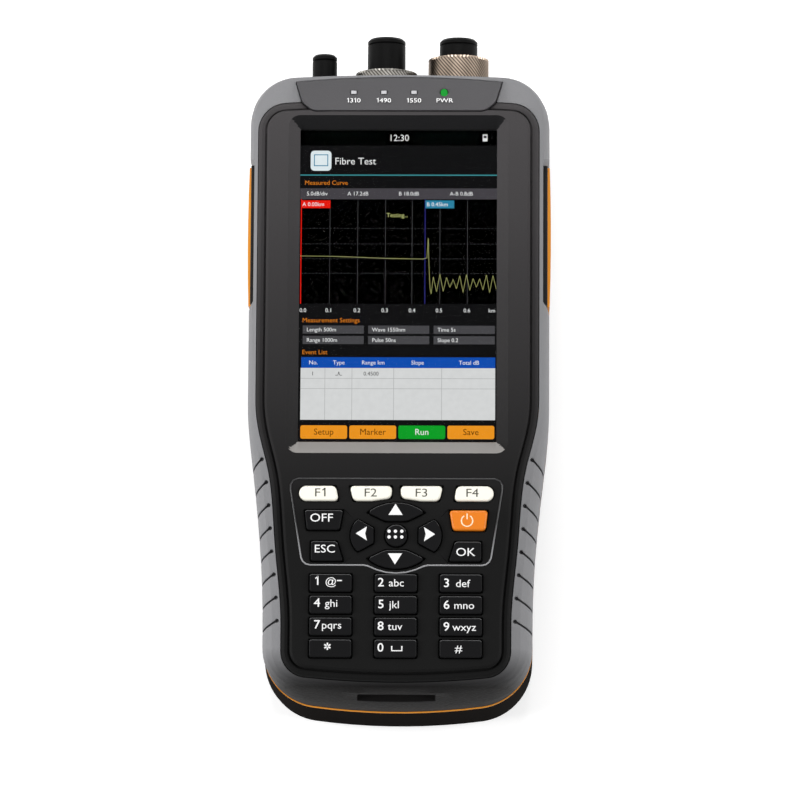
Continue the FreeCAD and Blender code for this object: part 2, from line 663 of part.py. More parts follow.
def lamp_form(index, grow=0.0):
    """The plan face of one lamp: three oblong wavelength lamps and the round power lamp."""
    x = ((index - 1.5) * size.lamp_pitch).value
    if index == 3:
        ring = Part.makeCircle(size.power_lamp_radius.value + grow, Vector(x, size.lamp_at.value, 0))
        return Part.Face(Part.Wire(ring))
    half, rise = size.lamp_wide / 2, size.lamp_tall / 2
    return flat_face([(x - half, size.lamp_at - rise), (x + half, size.lamp_at - rise),
                      (x + half, size.lamp_at + rise), (x - half, size.lamp_at + rise)], 0, grow)


def lamps():
    """The lenses in the indicator panel: a group of three, and the power lamp."""
    lift = size.lamp_top.value - size.lamp_low.value
    forms = [lamp_form(index).extrude(Vector(0, 0, lift)) for index in range(4)]
    for form in forms:
        form.translate(Vector(0, 0, size.lamp_low.value))
    feature("wavelength_lamps", Part.makeCompound(forms[:3]))
    feature("power_lamp", forms[3])


def rim_half(station):
    """Half the width of the rim outline at a station of the tapered side."""
    line = Part.makeLine(Vector(1, station, 0), Vector(size.upper_half.value, station, 0))
    return line.distToShape(outlines()[2].wire(0))[1][0][0].x


def notch_tools():
    """The grip slots of the right side, steeper towards the head, each from its small hole."""
    tools = []
    for index in range(8):
        station = (size.notch_first + index * size.notch_pitch).value
        slot = Part.makeBox(size.notch_long.value, size.notch_wide.value, 40,
                            Vector(0, -size.notch_wide.value / 2, 0))
        slot = slot.fuse(Part.makeCylinder(size.notch_hole_radius.value, 40))
        slot.rotate(Vector(), Vector(0, 0, 1), -(size.notch_angle + index * size.notch_turn).value)
        start = rim_half(station) + (size.notch_hole_radius + size.notch_inset).value
        slot.translate(Vector(start, station, size.notch_floor.value))
        tools.append(slot)
    return tools


def mirrored(solids):
    """Solids together with their mirror images on the left side."""
    return solids + [solid.mirror(Vector(), Vector(1, 0, 0)) for solid in solids]


def side_window():
    """The window in the right side of the front bumper, and the slot for the side panel."""
    low, high = size.side_window_at, size.side_window_at + size.side_window_long
    solids = []
    for inner, floor in ((size.side_window_half, size.side_window_floor),
                         (size.panel_inner - size.fit, size.front_low - 1)):
        slant = (inner - size.side_window_half) * size.side_slant
        far = size.upper_half + size.beyond
        wide = size.side_slant * (far - size.side_window_half)
        points = [(inner, low - slant), (far, low - wide), (far, high + wide), (inner, high + slant)]
        solids.append(raised(points, floor, size.face_height + 1))
    return solids


def bay(grow=0.0):
    """The recess of the port end that every shell leaves open."""
    return solid_box(-size.bay_half - grow, size.bay_half + grow, size.bay_at - size.end_panel_thick,
                     size.head_at + size.beyond, size.bay_low - grow, size.bay_high + grow)


def front_bumper(seam, rim):
    """The soft grey bumper round the front, with windows, grip slots and a foot slot."""
    low, high = size.front_low.value, size.rim_height.value
    steps = ((0.02, 0.12, 0.0, 0.30), (0.10, 0.36, 0.01, 0.58), (0.28, 0.58, 0.04, 0.80),
             (0.58, 0.80, 0.12, 0.94))
    levels = [(seam, low)]
    levels += [(seam.towards(rim, side, foot, head), low + rise * (high - low))
               for side, foot, head, rise in steps]
    blank = lofted(levels + [(rim, high)])
    deep = size.notch_deep.value
    core = lofted([(outline.inset(deep), height - deep) for outline, height in levels]
                  + [(rim, high - deep), (rim, high + 1)])
    half, rise = size.slot_wide / 2, size.slot_tall / 2
    slot = solid_box(-half, half, size.slot_at - rise, size.slot_at + rise, size.slot_floor, size.face_height)
    cuts = [prism(rim, low - 1, high + 1), bay(), panel_cut(), slot.cut(core)]
    notches = [notch.cut(core) for notch in notch_tools()]
    return feature("front_bumper", blank.cut(cuts + mirrored(notches + side_window())))


def front_housing(rim, keys):
    """The front housing: a skirt, a raised face, the display recess and the key openings."""
    low, top, face = size.front_low.value, size.skirt_top.value, size.face_height.value
    outer, band = rim.inset(size.fit.value), size.rim_band.value
    skirt = lofted([(outer, low), (outer, top - 1.2), (outer.inset(0.35), top - 0.35), (outer.inset(1.2), top)])
    ditch = top - size.groove_deep.value
    plate = lofted([(outer.inset(band), ditch), (outer.inset(band), face - 0.9),
                    (outer.inset(band + 0.25), face - 0.25), (outer.inset(band + 0.9), face)])
    groove = prism(outer.inset(band - size.groove.value), ditch, top + 1)
    hollow = prism(outer.inset(size.wall.value), low - 1, size.inner_face.value)
    blank = skirt.cut(groove).fuse([plate, prism(outer.inset(band), ditch - 1, ditch)]).cut(hollow)
    post_long = (size.inner_face - size.main_board_top).value
    posts = [Part.makeCylinder(size.post_radius.value, post_long, Vector(x, y, size.main_board_top.value))
             for x, y in board_screws()]
    posts += [Part.makeCylinder(size.screw_boss.value, size.boss_top.value - low, Vector(x, y, low))
              for x, y in shell_screws()]
    posts += [boss_web(x, y, low) for x, y in shell_screws()]
    half, wall = size.key_board_half, size.wall
    pad_frame = solid_box(-half, half, size.key_board_foot, size.key_board_head, size.mat_top, size.inner_face)
    pad_room = solid_box(wall - half, half - wall, size.key_board_foot + wall, size.key_board_head - wall,
                         size.mat_top - 1, size.inner_face + 1)
    shroud = solid_box(-display_half() - wall, display_half() + wall, display_low() - wall,
                       display_high() + wall, size.display_low, size.inner_face)
    inside = prism(outer.inset(size.wall.value / 2), low, face)
    shell = blank.fuse([post.common(inside) for post in posts] + [pad_frame.cut(pad_room), shroud])
    cuts = [raised(points, size.mat_top, size.key_top, size.key_gap.value) for points, _, _ in keys.values()]
    centre = Vector(0, size.cluster_at.value, size.mat_top.value)
    cuts.append(Part.makeCylinder((size.centre_key_radius + size.key_gap).value, 20, centre))
    cuts += [Part.makeCylinder((size.board_screw_radius + size.fit / 2).value, size.board_screw_long.value,
                               Vector(x, y, size.main_board_low.value)) for x, y in board_screws()]
    cuts += [Part.makeCylinder((size.screw_radius + size.fit / 2).value, size.screw_tip.value - low + 1,
                               Vector(x, y, low)) for x, y in shell_screws()]
    return feature("front_housing", shell.cut(cuts + [display_recess(), display_room(), panel_cut(), bay()]))


def display_half():
    """Half the width of the glass and of the display below it."""
    return size.window_wide / 2 + size.glass_edge


def display_low():
    """The station where the glass starts."""
    return size.window_at - size.window_tall / 2 - size.glass_edge


def display_high():
    """The station where the glass ends."""
    return size.window_at + size.window_tall / 2 + size.glass_edge


def display_recess():
    """The sloped recess round the window, from the face down to the glass."""
    wires = []
    lip = size.glass_top + size.window_lip
    for share, height in ((0, size.glass_top - 1), (0, lip), (1, size.face_height),
                          (1, size.face_height + 1)):
        half = size.window_wide / 2 + share * size.bezel
        low = size.window_foot_at - share * size.bezel_low
        high = size.window_head + share * size.bezel_high
        radius = size.window_round + share * (size.bezel_round - size.window_round)
        wires.append(round_rectangle(half.value, low.value, high.value, radius.value, height.value))
    return Part.makeLoft(wires, True, True)


def round_rectangle(half, low, high, radius, height):
    """A rectangle's wire with round corners, the same number of edges at every size."""
    box = Part.makeBox(2 * half, high - low, 1, Vector(-half, low, height))
    rounded = box.makeFillet(radius, [edge for edge in box.Edges if upright(edge)])
    return next(face for face in rounded.Faces if face.BoundBox.ZMax < height + 0.5).OuterWire


def display_room():
    """The room behind the face for the glass, its gasket and the display module."""
    gap = size.fit
    return solid_box(-display_half() - gap, display_half() + gap, display_low() - gap,
                     display_high() + gap, size.display_low - 1, size.glass_top)


def board_screws():
    """The four places where the main board is screwed to posts of the front housing."""
    x = (size.main_board_half - size.post_inset).value
    low = (size.main_board_foot + size.post_inset).value
    high = (size.main_board_head - size.post_inset).value
    return [(way * x, y) for way in (-1, 1) for y in (low, high)]


def mid_frame(wide, seam):
    """The orange frame between the shells, a little proud at the foot, with bowed side panels."""
    low, high = size.rear_height.value, size.front_low.value
    outer = seam.towards(wide, 0, size.frame_proud.value, 0)
    ring = prism(outer, low, high).cut(prism(seam.inset(size.frame_wide.value), low - 1, high + 1))
    start = size.side_window_at + size.running
    end = size.side_window_at + size.side_window_long - size.running
    inner = size.panel_inner
    points = [(inner, start), (size.upper_half, start, size.side_panel_bulge),
              (size.upper_half, end), (inner, end)]
    panel = raised(points, low, size.side_panel_top)
    return feature("mid_frame", ring.fuse(mirrored([panel])).cut(bay()))


def side_pads():
    """The black strips between each side panel and the front bumper."""
    start = size.side_window_at + size.running
    end = size.side_window_at + size.side_window_long - size.running
    inner, outer = size.side_window_half, size.panel_inner
    slab("side_pad_right", (inner, outer, start, end), size.side_window_floor, size.side_pad_top)
    slab("side_pad_left", (-outer, -inner, start, end), size.side_window_floor, size.side_pad_top)


def rear_bumper(wide, seam):
    """The dark rubber bumper round the back, with an eased edge and a lip that it lies on."""
    radius, high = size.rear_edge_radius.value, size.rear_height.value
    levels = []
    for angle in (90, 68, 45, 22, 0):
        turn = math.radians(angle)
        levels.append((wide.inset(radius * (1 - math.cos(turn))), radius * (1 - math.sin(turn))))
    blank = lofted(levels + [(wide, 0.6 * high), (seam, high)])
    room = prism(seam.inset(size.bumper_wall.value), size.shell_low.value, high + 1)
    floor = prism(seam.inset((size.bumper_wall + size.lip).value), -1, size.shell_low.value + 1)
    return feature("rear_bumper", blank.cut([room, floor, bay()]))


def rear_shell(seam):
    """The rear shell: a tray with a raised back, a stand recess and a battery bay."""
    low, high, back = size.shell_low.value, size.rear_height.value, size.back_gap.value
    outer = seam.inset((size.bumper_wall + size.fit).value)
    inside = outer.inset(size.wall.value)
    tray = prism(outer, low, high)
    hollow = prism(inside, low + size.wall.value, high + 1)
    raised_back = prism(seam.inset((size.bumper_wall + size.lip + size.fit).value), back, low)
    grow, wall = size.stand_gap + size.wall, size.wall
    stand_box = solid_box(-size.stand_half - grow, size.stand_half + grow, size.stand_foot - grow,
                          size.stand_pivot_at + size.stand_barrel + grow, back, size.stand_roof + wall)
    grow = size.fit + wall
    battery_box = solid_box(-size.battery_half - grow, size.battery_half + grow, size.battery_foot - grow,
                            size.battery_head + grow, back, size.battery_top + wall)
    bosses = [Part.makeCylinder(size.screw_boss.value, high - low, Vector(x, y, low))
              for x, y in shell_screws()]
    bosses += [Part.makeCylinder(size.door_boss.value, (size.door_thick + size.board_screw_long).value,
                                 Vector(x, y, back)) for x, y in door_screws()]
    inner_part = prism(outer.inset(size.wall.value / 2), back, high)
    scoop = Part.makeCylinder((size.scoop_radius + wall).value, size.stand_roof.value + wall.value - back,
                              Vector(0, size.stand_foot.value, back))
    added = [item.common(inner_part) for item in [stand_box, battery_box, scoop] + bosses]
    cuts = [stand_room(), battery_room(), door_room(), bay()]
    cuts.append(Part.makeCylinder((size.stand_pin_radius + size.stand_pin_fit).value, 2 * pin_half().value,
                                  Vector(-pin_half().value, size.stand_pivot_at.value,
                                         size.stand_pivot_z.value), Vector(1, 0, 0)))
    for x, y in shell_screws():
        cuts.append(Part.makeCylinder((size.screw_radius + size.fit / 2).value, high, Vector(x, y, 0)))
        cuts.append(Part.makeCylinder((size.screw_head_radius + size.fit).value, size.screw_seat.value,
                                      Vector(x, y, 0)))
    for x, y in door_screws():
        cuts.append(Part.makeCylinder((size.board_screw_radius + size.fit / 2).value,
                                      size.board_screw_long.value, Vector(x, y, back)))
    shell = tray.cut(hollow).fuse([raised_back] + added)
    return feature("rear_shell", shell.cut(cuts))


def pin_half():
    """Half the length of the stand's pin, which ends inside the recess walls."""
    return size.stand_half + size.stand_gap + size.wall - size.fit


def stand_room():
    """The recess in the back that the stand folds into, with a finger scoop at its foot."""
    gap, back = size.stand_gap, size.back_gap - 1
    room = solid_box(-size.stand_half - gap, size.stand_half + gap, size.stand_foot - gap,
                     size.stand_pivot_at + size.stand_barrel + gap, back, size.stand_roof)
    scoop = Part.makeCylinder(size.scoop_radius.value, (size.stand_roof - back).value,
                              Vector(0, size.stand_foot.value, back.value))
    return room.fuse(scoop)


def battery_room():
    """The bay for the battery pack, open to the back."""
    gap = size.fit
    return solid_box(-size.battery_half - gap, size.battery_half + gap, size.battery_foot - gap,
                     size.battery_head + gap, size.back_gap, size.battery_top + gap)


def door_room():
    """The seat of the battery door, wider than the bay so that the door rests on a ledge."""
    grow = size.door_ledge + size.fit
    return solid_box(-size.battery_half - grow, size.battery_half + grow, size.battery_foot - grow,
                     size.battery_head + size.door_tab + size.fit, size.back_gap - 1,
                     size.back_gap + size.door_thick)


def door_screws():
    """The two screws that close the battery door."""
    y = (size.battery_head + size.door_tab / 2 + size.door_ledge / 2).value
    return [(way * size.door_screw_side.value, y) for way in (-1, 1)]


def shell_screws():
    """The four long screws that hold the rear shell to the front housing."""
    return [(way * side.value, y.value) for way in (-1, 1) for side, y in
            ((size.screw_foot_side, size.screw_foot_at), (size.screw_side, size.screw_head_at))]


def boss_web(x, y, low):
    """The rib that ties a screw boss of the front housing to the nearest wall."""
    half = size.boss_web.value / 2
    if y > size.window_at.value:
        reach = math.copysign(size.rim_upper_half.value, x)
        return solid_box(min(x, reach), max(x, reach), y - half, y + half, low, size.boss_top)
    return solid_box(x - half, x + half, size.rim_foot_at, y, low, size.boss_top)


def screws(label, places, head_low, head_radius, head, radius, long):
    """Identical pan-head screws as one node, heads towards the back."""
    solids = []
    for x, y in places:
        start = Vector(x, y, Size.of(head_low).value)
        cap = Part.makeCylinder(head_radius.value, head.value, start)
        socket = Part.makeBox(head_radius.value, 0.5, 0.6, start - Vector(head_radius.value / 2, 0.25, 0))
        shank = Part.makeCylinder(radius.value, Size.of(long).value, start)
        solids.append(cap.fuse(shank).cut(socket))
    return feature(label, Part.makeCompound(solids))


# --- display, boards and optics ---------------------------------------------------------

def display_stack():
    """The glass, its gasket and the display module behind it."""
    edges = (-display_half(), display_half(), display_low(), display_high())
    slab("display_window", edges, size.glass_low, size.glass_top)
    body, _ = slab("display_gasket", edges, size.display_top, size.glass_low)
    window = new_sketch(body, "gasket_window", offset=size.glass_low)
    half, rise = size.window_wide / 2 + size.fit, size.window_tall / 2 + size.fit
    rectangle(window, -half, half, size.window_at - rise, size.window_at + rise)
    pocket(body, window)
    slab("display_module", edges, size.display_low, size.display_top)


def main_board():
    """The main board with its four screw holes."""
    half = size.main_board_half
    body, _ = slab("main_board", (-half, half, size.main_board_foot, size.main_board_head),
                   size.main_board_low, size.main_board_top, size.recess_radius)
    holes = new_sketch(body, "board_holes", offset=size.main_board_top)
    for way in (-1, 1):
        for station in (size.main_board_foot + size.post_inset, size.main_board_head - size.post_inset):
            circle(holes, way * (half - size.post_inset), station, size.board_screw_radius + size.fit / 2)
    pocket(body, holes)


def optics():
    """The three optical modules that hang below the main board behind the ports."""
    top = size.main_board_low
    edges = (size.trace_port_x - size.optics_half, size.trace_port_x + size.optics_half,
             size.optics_foot, size.optics_head)
    body, base = slab("otdr_module", edges, size.optics_low, top, size.recess_radius)
    lid = new_sketch(body, "otdr_lid", offset=size.optics_low)
    half = size.optics_half - size.wall
    rectangle(lid, size.trace_port_x - half, size.trace_port_x + half, size.optics_foot + size.wall,
              size.optics_head - size.wall)
    pocket(body, lid, size.board / 2, upwards=True)
    slab("detector_module", (size.meter_port_x - size.detector_half, size.meter_port_x + size.detector_half,
                             size.detector_foot, size.optics_head), size.optics_low, top, size.recess_radius)
    body = new_body("fault_laser", x=size.pen_port_x, z=size.port_height)
    turned(body, "fault_laser", [(0, size.laser_foot), (size.laser_radius, size.laser_foot),
                                 (size.laser_radius, size.laser_head - size.wall),
                                 (size.pen_tube_radius, size.laser_head), (0, size.laser_head)])


def end_panel():
    """The plate at the port end, with one hole for each port."""
    body = new_body("end_panel")
    half, low, high = size.bay_half - size.fit, size.bay_low + size.fit, size.bay_high - size.fit
    sketch = new_sketch(body, "end_panel_outline", role="XZ_Plane", offset=-size.bay_at)
    rectangle(sketch, -half, half, low, high)
    for x, radius in ((size.trace_port_x, size.adapter_radius), (size.meter_port_x, size.adapter_radius),
                      (size.pen_port_x, size.pen_tube_radius)):
        circle(sketch, x, size.port_height, radius + size.fit / 2)
    pad(body, sketch, size.end_panel_thick)


def adapter(label, x, tube_radius, end, base_radius):
    """A port: a tube with a flange on the end panel and a bore for the ferrule."""
    body = new_body(label, x=x, z=size.port_height)
    back, tip = size.bay_at - size.end_panel_thick - size.adapter_base, end - size.cap_top - size.cap_slack
    flange = size.bay_at + size.end_flange
    bore = size.ferrule_radius
    turned(body, label, [
        (0, back), (tube_radius, back), (tube_radius, size.bay_at), (base_radius, size.bay_at),
        (base_radius, flange), (tube_radius, flange), (tube_radius, tip - size.cap_step),
        (tube_radius - size.cap_step, tip), (bore + 2 * size.fit, tip), (bore, tip - 2 * size.fit),
        (bore, tip - size.ferrule_deep), (0, tip - size.ferrule_deep)])


def knurled_ring(label, x, radius, start, long):
    """A coupling ring that turns on its port; its grip is a polar pattern of grooves."""
    body = new_body(label, x=x, z=size.port_height)
    inner = size.adapter_radius + size.running
    turned(body, label, [
        (inner, start), (radius - size.ring_edge, start), (radius, start + size.ring_edge),
        (radius, start + long - size.ring_edge), (radius - size.ring_edge, start + long), (inner, start + long)])
    sketch = new_sketch(body, label + "_groove", role="XZ_Plane", offset=-start - long - 1)
    circle(sketch, 0, radius + size.knurl_radius / 2, size.knurl_radius)
    cut = pocket(body, sketch)
    doc.recompute()
    pattern = body.newObject("PartDesign::PolarPattern", "Knurl")
    pattern.Originals = [cut]
    pattern.Axis = (next(item for item in body.Origin.OriginFeatures if item.Role == "Y_Axis"), [""])
    pattern.Angle = 360
    pattern.Occurrences = 24
    body.Tip = pattern


def dust_cap(label, x, radius, tube_radius, foot, end):
    """A pull-off dust cap: a cup over the port's tube with a grip step near its end."""
    body = new_body(label, x=x, z=size.port_height)
    inner, edge = tube_radius + size.running, size.cap_step
    turned(body, label, [
        (inner, foot), (radius, foot), (radius, end - 3 * edge), (radius - edge / 2, end - 2.6 * edge),
        (radius, end - 2.2 * edge), (radius, end - edge), (radius - edge, end), (0, end),
        (0, end - size.cap_top), (inner, end - size.cap_top)])


# --- back -----------------------------------------------------------------------------

def battery():
    """The battery pack in its bay and the door that closes it, with a screwed tab."""
    edges = (-size.battery_half, size.battery_half, size.battery_foot, size.battery_head)
    slab("battery_pack", edges, size.back_gap + size.door_thick, size.battery_top, size.recess_radius)
    ledge, low = size.door_ledge, size.back_gap
    body, _ = slab("battery_door", (edges[0] - ledge, edges[1] + ledge, edges[2] - ledge,
                                    edges[3] + size.door_tab), low, low + size.door_thick)
    grip = new_sketch(body, "door_grip", offset=low)
    for index in range(5):
        foot = size.battery_foot + size.door_edge + index * 2 * size.door_rib
        rectangle(grip, -size.door_grip_half, size.door_grip_half, foot, foot + size.door_rib)
    pocket(body, grip, size.door_rib / 2, upwards=True)
    for radius, depth in ((size.board_screw_radius + size.fit / 2, size.door_thick),
                          (size.board_screw_head_radius + size.fit, size.door_thick / 2)):
        holes = new_sketch(body, "door_holes", offset=low)
        for way in (-1, 1):
            circle(holes, way * size.door_screw_side,
                   size.battery_head + size.door_tab / 2 + size.door_ledge / 2, radius)
        pocket(body, holes, depth, upwards=True)


def stand():
    """The folding stand: a plate with a sunk middle that turns on a pin through the barrel at its head."""
    half, low = size.stand_half, size.stand_low
    body, _ = slab("stand", (-half, half, size.stand_foot, size.stand_pivot_at), low, low + size.stand_thick)
    recess = new_sketch(body, "stand_recess", offset=low)
    edge = size.stand_recess_edge
    rectangle(recess, edge - half, half - edge, size.stand_foot + edge, size.stand_pivot_at - edge)
    pocket(body, recess, size.stand_recess, upwards=True)
    for name, radius in (("barrel", size.stand_barrel), ("bore", size.stand_pin_radius + size.stand_pin_fit)):
        round_form = new_sketch(body, "stand_" + name, role="YZ_Plane")
        circle(round_form, size.stand_pivot_at, size.stand_pivot_z, radius)
        if name == "barrel":
            pad(body, round_form, 2 * half, both_ways=True)
        else:
            pocket(body, round_form, 2 * half + 1, both_ways=True)
    body = new_body("stand_pin")
    round_form = new_sketch(body, "stand_pin_end", role="YZ_Plane")
    circle(round_form, size.stand_pivot_at, size.stand_pivot_z, size.stand_pin_radius)
    pad(body, round_form, 2 * pin_half() - size.fit, both_ways=True)


# --- the assembly -----------------------------------------------------------------------

def ports():
    """The three ports, their coupling rings and their dust caps."""
    edge, tube = size.bay_at + size.end_flange, size.adapter_radius
    adapter("trace_port", size.trace_port_x, tube, size.trace_cap_end, size.adapter_nut_radius)
    adapter("meter_port", size.meter_port_x, tube, size.meter_cap_end, size.adapter_nut_radius)
    adapter("fault_laser_port", size.pen_port_x, size.pen_tube_radius, size.pen_cap_end,
            size.pen_cap_radius + size.end_flange)
    knurled_ring("trace_ring", size.trace_port_x, size.trace_ring_radius, size.trace_ring_at,
                 size.trace_ring_long)
    knurled_ring("meter_ring", size.meter_port_x, size.meter_ring_radius, size.meter_ring_at,
                 size.meter_ring_long)
    dust_cap("trace_cap", size.trace_port_x, size.trace_cap_radius, tube,
             size.trace_ring_at + size.trace_ring_long + size.cap_gap, size.trace_cap_end)
    dust_cap("meter_cap", size.meter_port_x, size.trace_cap_radius, tube,
             size.meter_ring_at + size.meter_ring_long + size.cap_gap, size.meter_cap_end)
    dust_cap("fault_laser_cap", size.pen_port_x, size.pen_cap_radius, size.pen_tube_radius,
             edge + size.cap_gap, size.pen_cap_end)


def build():
    """Make every sub-part."""
    write_sheet()
    shared()
    wide, seam, rim = outlines()
    keys = key_outlines()
    front_housing(rim, keys)
    front_bumper(seam, rim)
    mid_frame(wide, seam)
    side_pads()
    rear_shell(seam)
    rear_bumper(wide, seam)
    indicator_panel()
    lamps()
    display_stack()
    key_caps(keys)
    key_mat(keys)
    main_board()
    optics()
    end_panel()
    ports()
    battery()
    stand()
    head, radius = size.board_screw_head, size.board_screw_head_radius
    screws("shell_screws", shell_screws(), size.screw_seat - size.screw_head, size.screw_head_radius,
           size.screw_head, size.screw_radius, size.screw_tip - size.screw_seat + size.screw_head)
    screws("board_screws", board_screws(), size.main_board_low - head, radius, head,
           size.board_screw_radius, size.board_screw_long)
    screws("door_screws", door_screws(), size.back_gap + size.door_thick / 2 - head, radius, head,
           size.board_screw_radius, size.board_screw_long - size.fit)


def check_and_write():
    """Recompute, check every object and every sub-part's shape, then write the files."""
    doc.recompute()
    for item in doc.Objects:
        if "Invalid" in item.State or "Error" in item.State:
            raise RuntimeError("%s failed: %s" % (item.Label, item.State))
    os.makedirs("parts", exist_ok=True)
    for item in parts:
        if item.Shape.isNull() or not item.Shape.isValid() or not item.Shape.Solids:
            raise RuntimeError("%s has no valid solid" % item.Label)
    for item in parts:
        item.Shape.exportStep("parts/%s.step" % item.Label)
    print("%d sub-parts, %d faces" % (len(parts), sum(len(item.Shape.Faces) for item in parts)))


build()
check_and_write()
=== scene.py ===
"""Dressed model of a handheld optical time domain reflectometer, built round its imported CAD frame."""

import json
import logging
import math
import re
from collections.abc import Callable, Iterator
from contextlib import contextmanager
from dataclasses import dataclass, field
from enum import Enum

import bmesh
import bpy
from mathutils import Matrix, Vector

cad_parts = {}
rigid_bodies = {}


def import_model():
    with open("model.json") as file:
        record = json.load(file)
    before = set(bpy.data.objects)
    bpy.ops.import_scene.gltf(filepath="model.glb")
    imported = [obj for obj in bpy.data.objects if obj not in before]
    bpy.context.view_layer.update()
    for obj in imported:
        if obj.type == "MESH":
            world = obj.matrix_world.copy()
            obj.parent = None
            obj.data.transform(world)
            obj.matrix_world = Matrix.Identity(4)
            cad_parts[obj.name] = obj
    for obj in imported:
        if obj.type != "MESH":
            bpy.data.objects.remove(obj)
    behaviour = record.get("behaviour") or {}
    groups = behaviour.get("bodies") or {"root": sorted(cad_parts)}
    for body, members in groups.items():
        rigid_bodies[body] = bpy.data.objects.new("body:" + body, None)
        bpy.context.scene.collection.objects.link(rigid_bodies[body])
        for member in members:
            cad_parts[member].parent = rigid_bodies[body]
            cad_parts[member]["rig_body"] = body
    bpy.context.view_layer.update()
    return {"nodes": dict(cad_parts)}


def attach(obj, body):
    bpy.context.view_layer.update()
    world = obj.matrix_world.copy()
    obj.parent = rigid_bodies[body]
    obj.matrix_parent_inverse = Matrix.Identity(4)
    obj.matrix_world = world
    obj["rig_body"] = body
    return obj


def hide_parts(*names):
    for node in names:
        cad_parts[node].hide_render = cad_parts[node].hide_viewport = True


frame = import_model()

MM = 0.001
FOOT = -121.3  # frame y, in mm, of the foot end that stations are measured from
CAPITAL = 0.729  # height of a capital in the built-in font at size one
log = logging.getLogger("otdr")

Piece = bpy.types.Object
Socket = bpy.types.NodeSocket
Tree = bpy.types.NodeTree
Pair = tuple[float, float]
Triple = tuple[float, float, float]


class Align(Enum):
    """Where a line of lettering is held, as a share of its width."""

    LEFT = 0.0
    CENTER = 0.5


def linear(code: str) -> tuple[float, float, float, float]:
    """Turn an sRGB code, six hex digits after a hash, into linear red, green and blue, and full alpha."""
    parts = [int(code[i : i + 2], 16) / 255 for i in (1, 3, 5)]
    return (*((c / 12.92 if c <= 0.04045 else ((c + 0.055) / 1.055) ** 2.4) for c in parts), 1.0)


def node(tree: Tree, kind: str, inputs: dict | None = None, **settings: object) -> bpy.types.Node:
    """Add a shader node with its settings and links.

    Args:
        tree: Node tree that gets the node.
        kind: Node type after "ShaderNode".
        inputs: By input name or number, a value, a feeding socket, or a node whose first output feeds it.
        settings: Attributes of the node.

    Returns:
        The new node.
    """
    made = tree.nodes.new("ShaderNode" + kind)
    for key, value in settings.items():
        setattr(made, key, value)
    for key, value in (inputs or {}).items():
        if isinstance(value, bpy.types.Node):
            value = value.outputs[0]
        if isinstance(value, Socket):
            tree.links.new(value, made.inputs[key])
        else:
            made.inputs[key].default_value = value
    return made


def mix(tree: Tree, share: Socket, first: object, second: object) -> Socket:
    """Mix two colours, each a value or a socket, by a share from the first to the second."""
    return node(tree, "Mix", {0: share, 6: first, 7: second}, data_type="RGBA").outputs[2]


def noise(tree: Tree, size: float, detail: float) -> Socket:
    """Make a noise in the piece's own space with cells of this size in mm, and return its socket."""
    place = node(tree, "TexCoord").outputs["Object"]
    return node(tree, "TexNoise", {"Vector": place, "Scale": 1 / (size * MM), "Detail": detail}).outputs[0]


def cleared(holder: bpy.types.Material | bpy.types.World) -> Tree:
    """Give a material or a world an empty node tree, and return the tree."""
    holder.use_nodes = True
    holder.node_tree.nodes.clear()
    return holder.node_tree


class Finish:
    """A surface finish that makes one procedural material and keeps it."""

    name: str

    def material(self) -> bpy.types.Material:
        """Return the finish's material, made at its first use."""
        made = bpy.data.materials.get(self.name)
        if made is None:
            made = bpy.data.materials.new(self.name)
            tree = cleared(made)
            node(tree, "OutputMaterial", {"Surface": self.shade(tree)})
        return made

    def shade(self, tree: Tree) -> Socket:
        """Build the shader's nodes and return its socket."""
        raise NotImplementedError


@dataclass(frozen=True)
class Grained(Finish):
    """Opaque surface with two colours, a fine grain and uneven gloss.

    Attributes:
        name: Common name of the material and its finish.
        colour: Main colour.
        second: Colour that it drifts to.
        roughness: Mean roughness.
        grain: Width of the grain, in mm. A real one is 0.1 mm or less; it is drawn coarser so that it still
            breaks up the highlights from an arm's length.
        depth: Strength of the grain's bump.
    """

    name: str
    colour: str
    second: str
    roughness: float
    grain: float
    depth: float

    def shader(
        self, tree: Tree, colour: Socket, fine: Socket, gloss: Socket, spread: float, more: dict[str, float]
    ) -> Socket:
        """Make the shader from the sockets of its colour, grain and gloss, and return its socket."""
        ends = {"To Min": self.roughness - spread, "To Max": self.roughness + spread}
        rough = node(tree, "MapRange", {"Value": gloss, **ends})
        bump = node(tree, "Bump", {"Height": fine, "Strength": self.depth, "Distance": self.grain * MM})
        inputs = {"Base Color": colour, "Roughness": rough, "Normal": bump, **more}
        return node(tree, "BsdfPrincipled", inputs).outputs["BSDF"]


@dataclass(frozen=True)
class Moulded(Grained):
    """Moulded or painted polymer, with a spark-eroded grain, soft mottling and uneven gloss, and, where it
    has one, a painted falloff of light along its length.

    Attributes:
        specular: Specular level, with 0.5 for a bare polymer.
        painted_falloff: Colour that both drift to at one end along y, where the painted light falls off, or
            nothing:
            towards the foot when fade_from is the higher station, towards the ports when it is the lower.
        fade_from: Station where the main colours end, in mm.
        fade_to: Station where the painted falloff colour starts, in mm.
        drift: Length over which the colour drifts, in mm.
        spread: How far the roughness strays from its mean.
    """

    specular: float
    painted_falloff: str = ""
    fade_from: float = 0.0
    fade_to: float = 0.0
    drift: float = 45.0
    spread: float = 0.07

    def shade(self, tree: Tree) -> Socket:
        """Build the polymer's shader."""
        colour = mix(tree, noise(tree, self.drift, 3.0), linear(self.colour), linear(self.second))
        # Painted light falloff: the colour drifts darker towards one end along y, standing in for less light
        # falling there.
        if self.painted_falloff:
            along = node(tree, "SeparateXYZ", {0: node(tree, "TexCoord").outputs["Object"]}).outputs["Y"]
            ends = {"From Min": (FOOT + self.fade_to) * MM, "From Max": (FOOT + self.fade_from) * MM}
            share = node(tree, "MapRange", {"Value": along, **ends}).outputs[0]
            colour = mix(tree, share, linear(self.painted_falloff), colour)
        fine = noise(tree, self.grain, 2.0)
        shine = {"Specular IOR Level": self.specular, "IOR": 1.5}
        return self.shader(tree, colour, fine, fine, self.spread, shine)


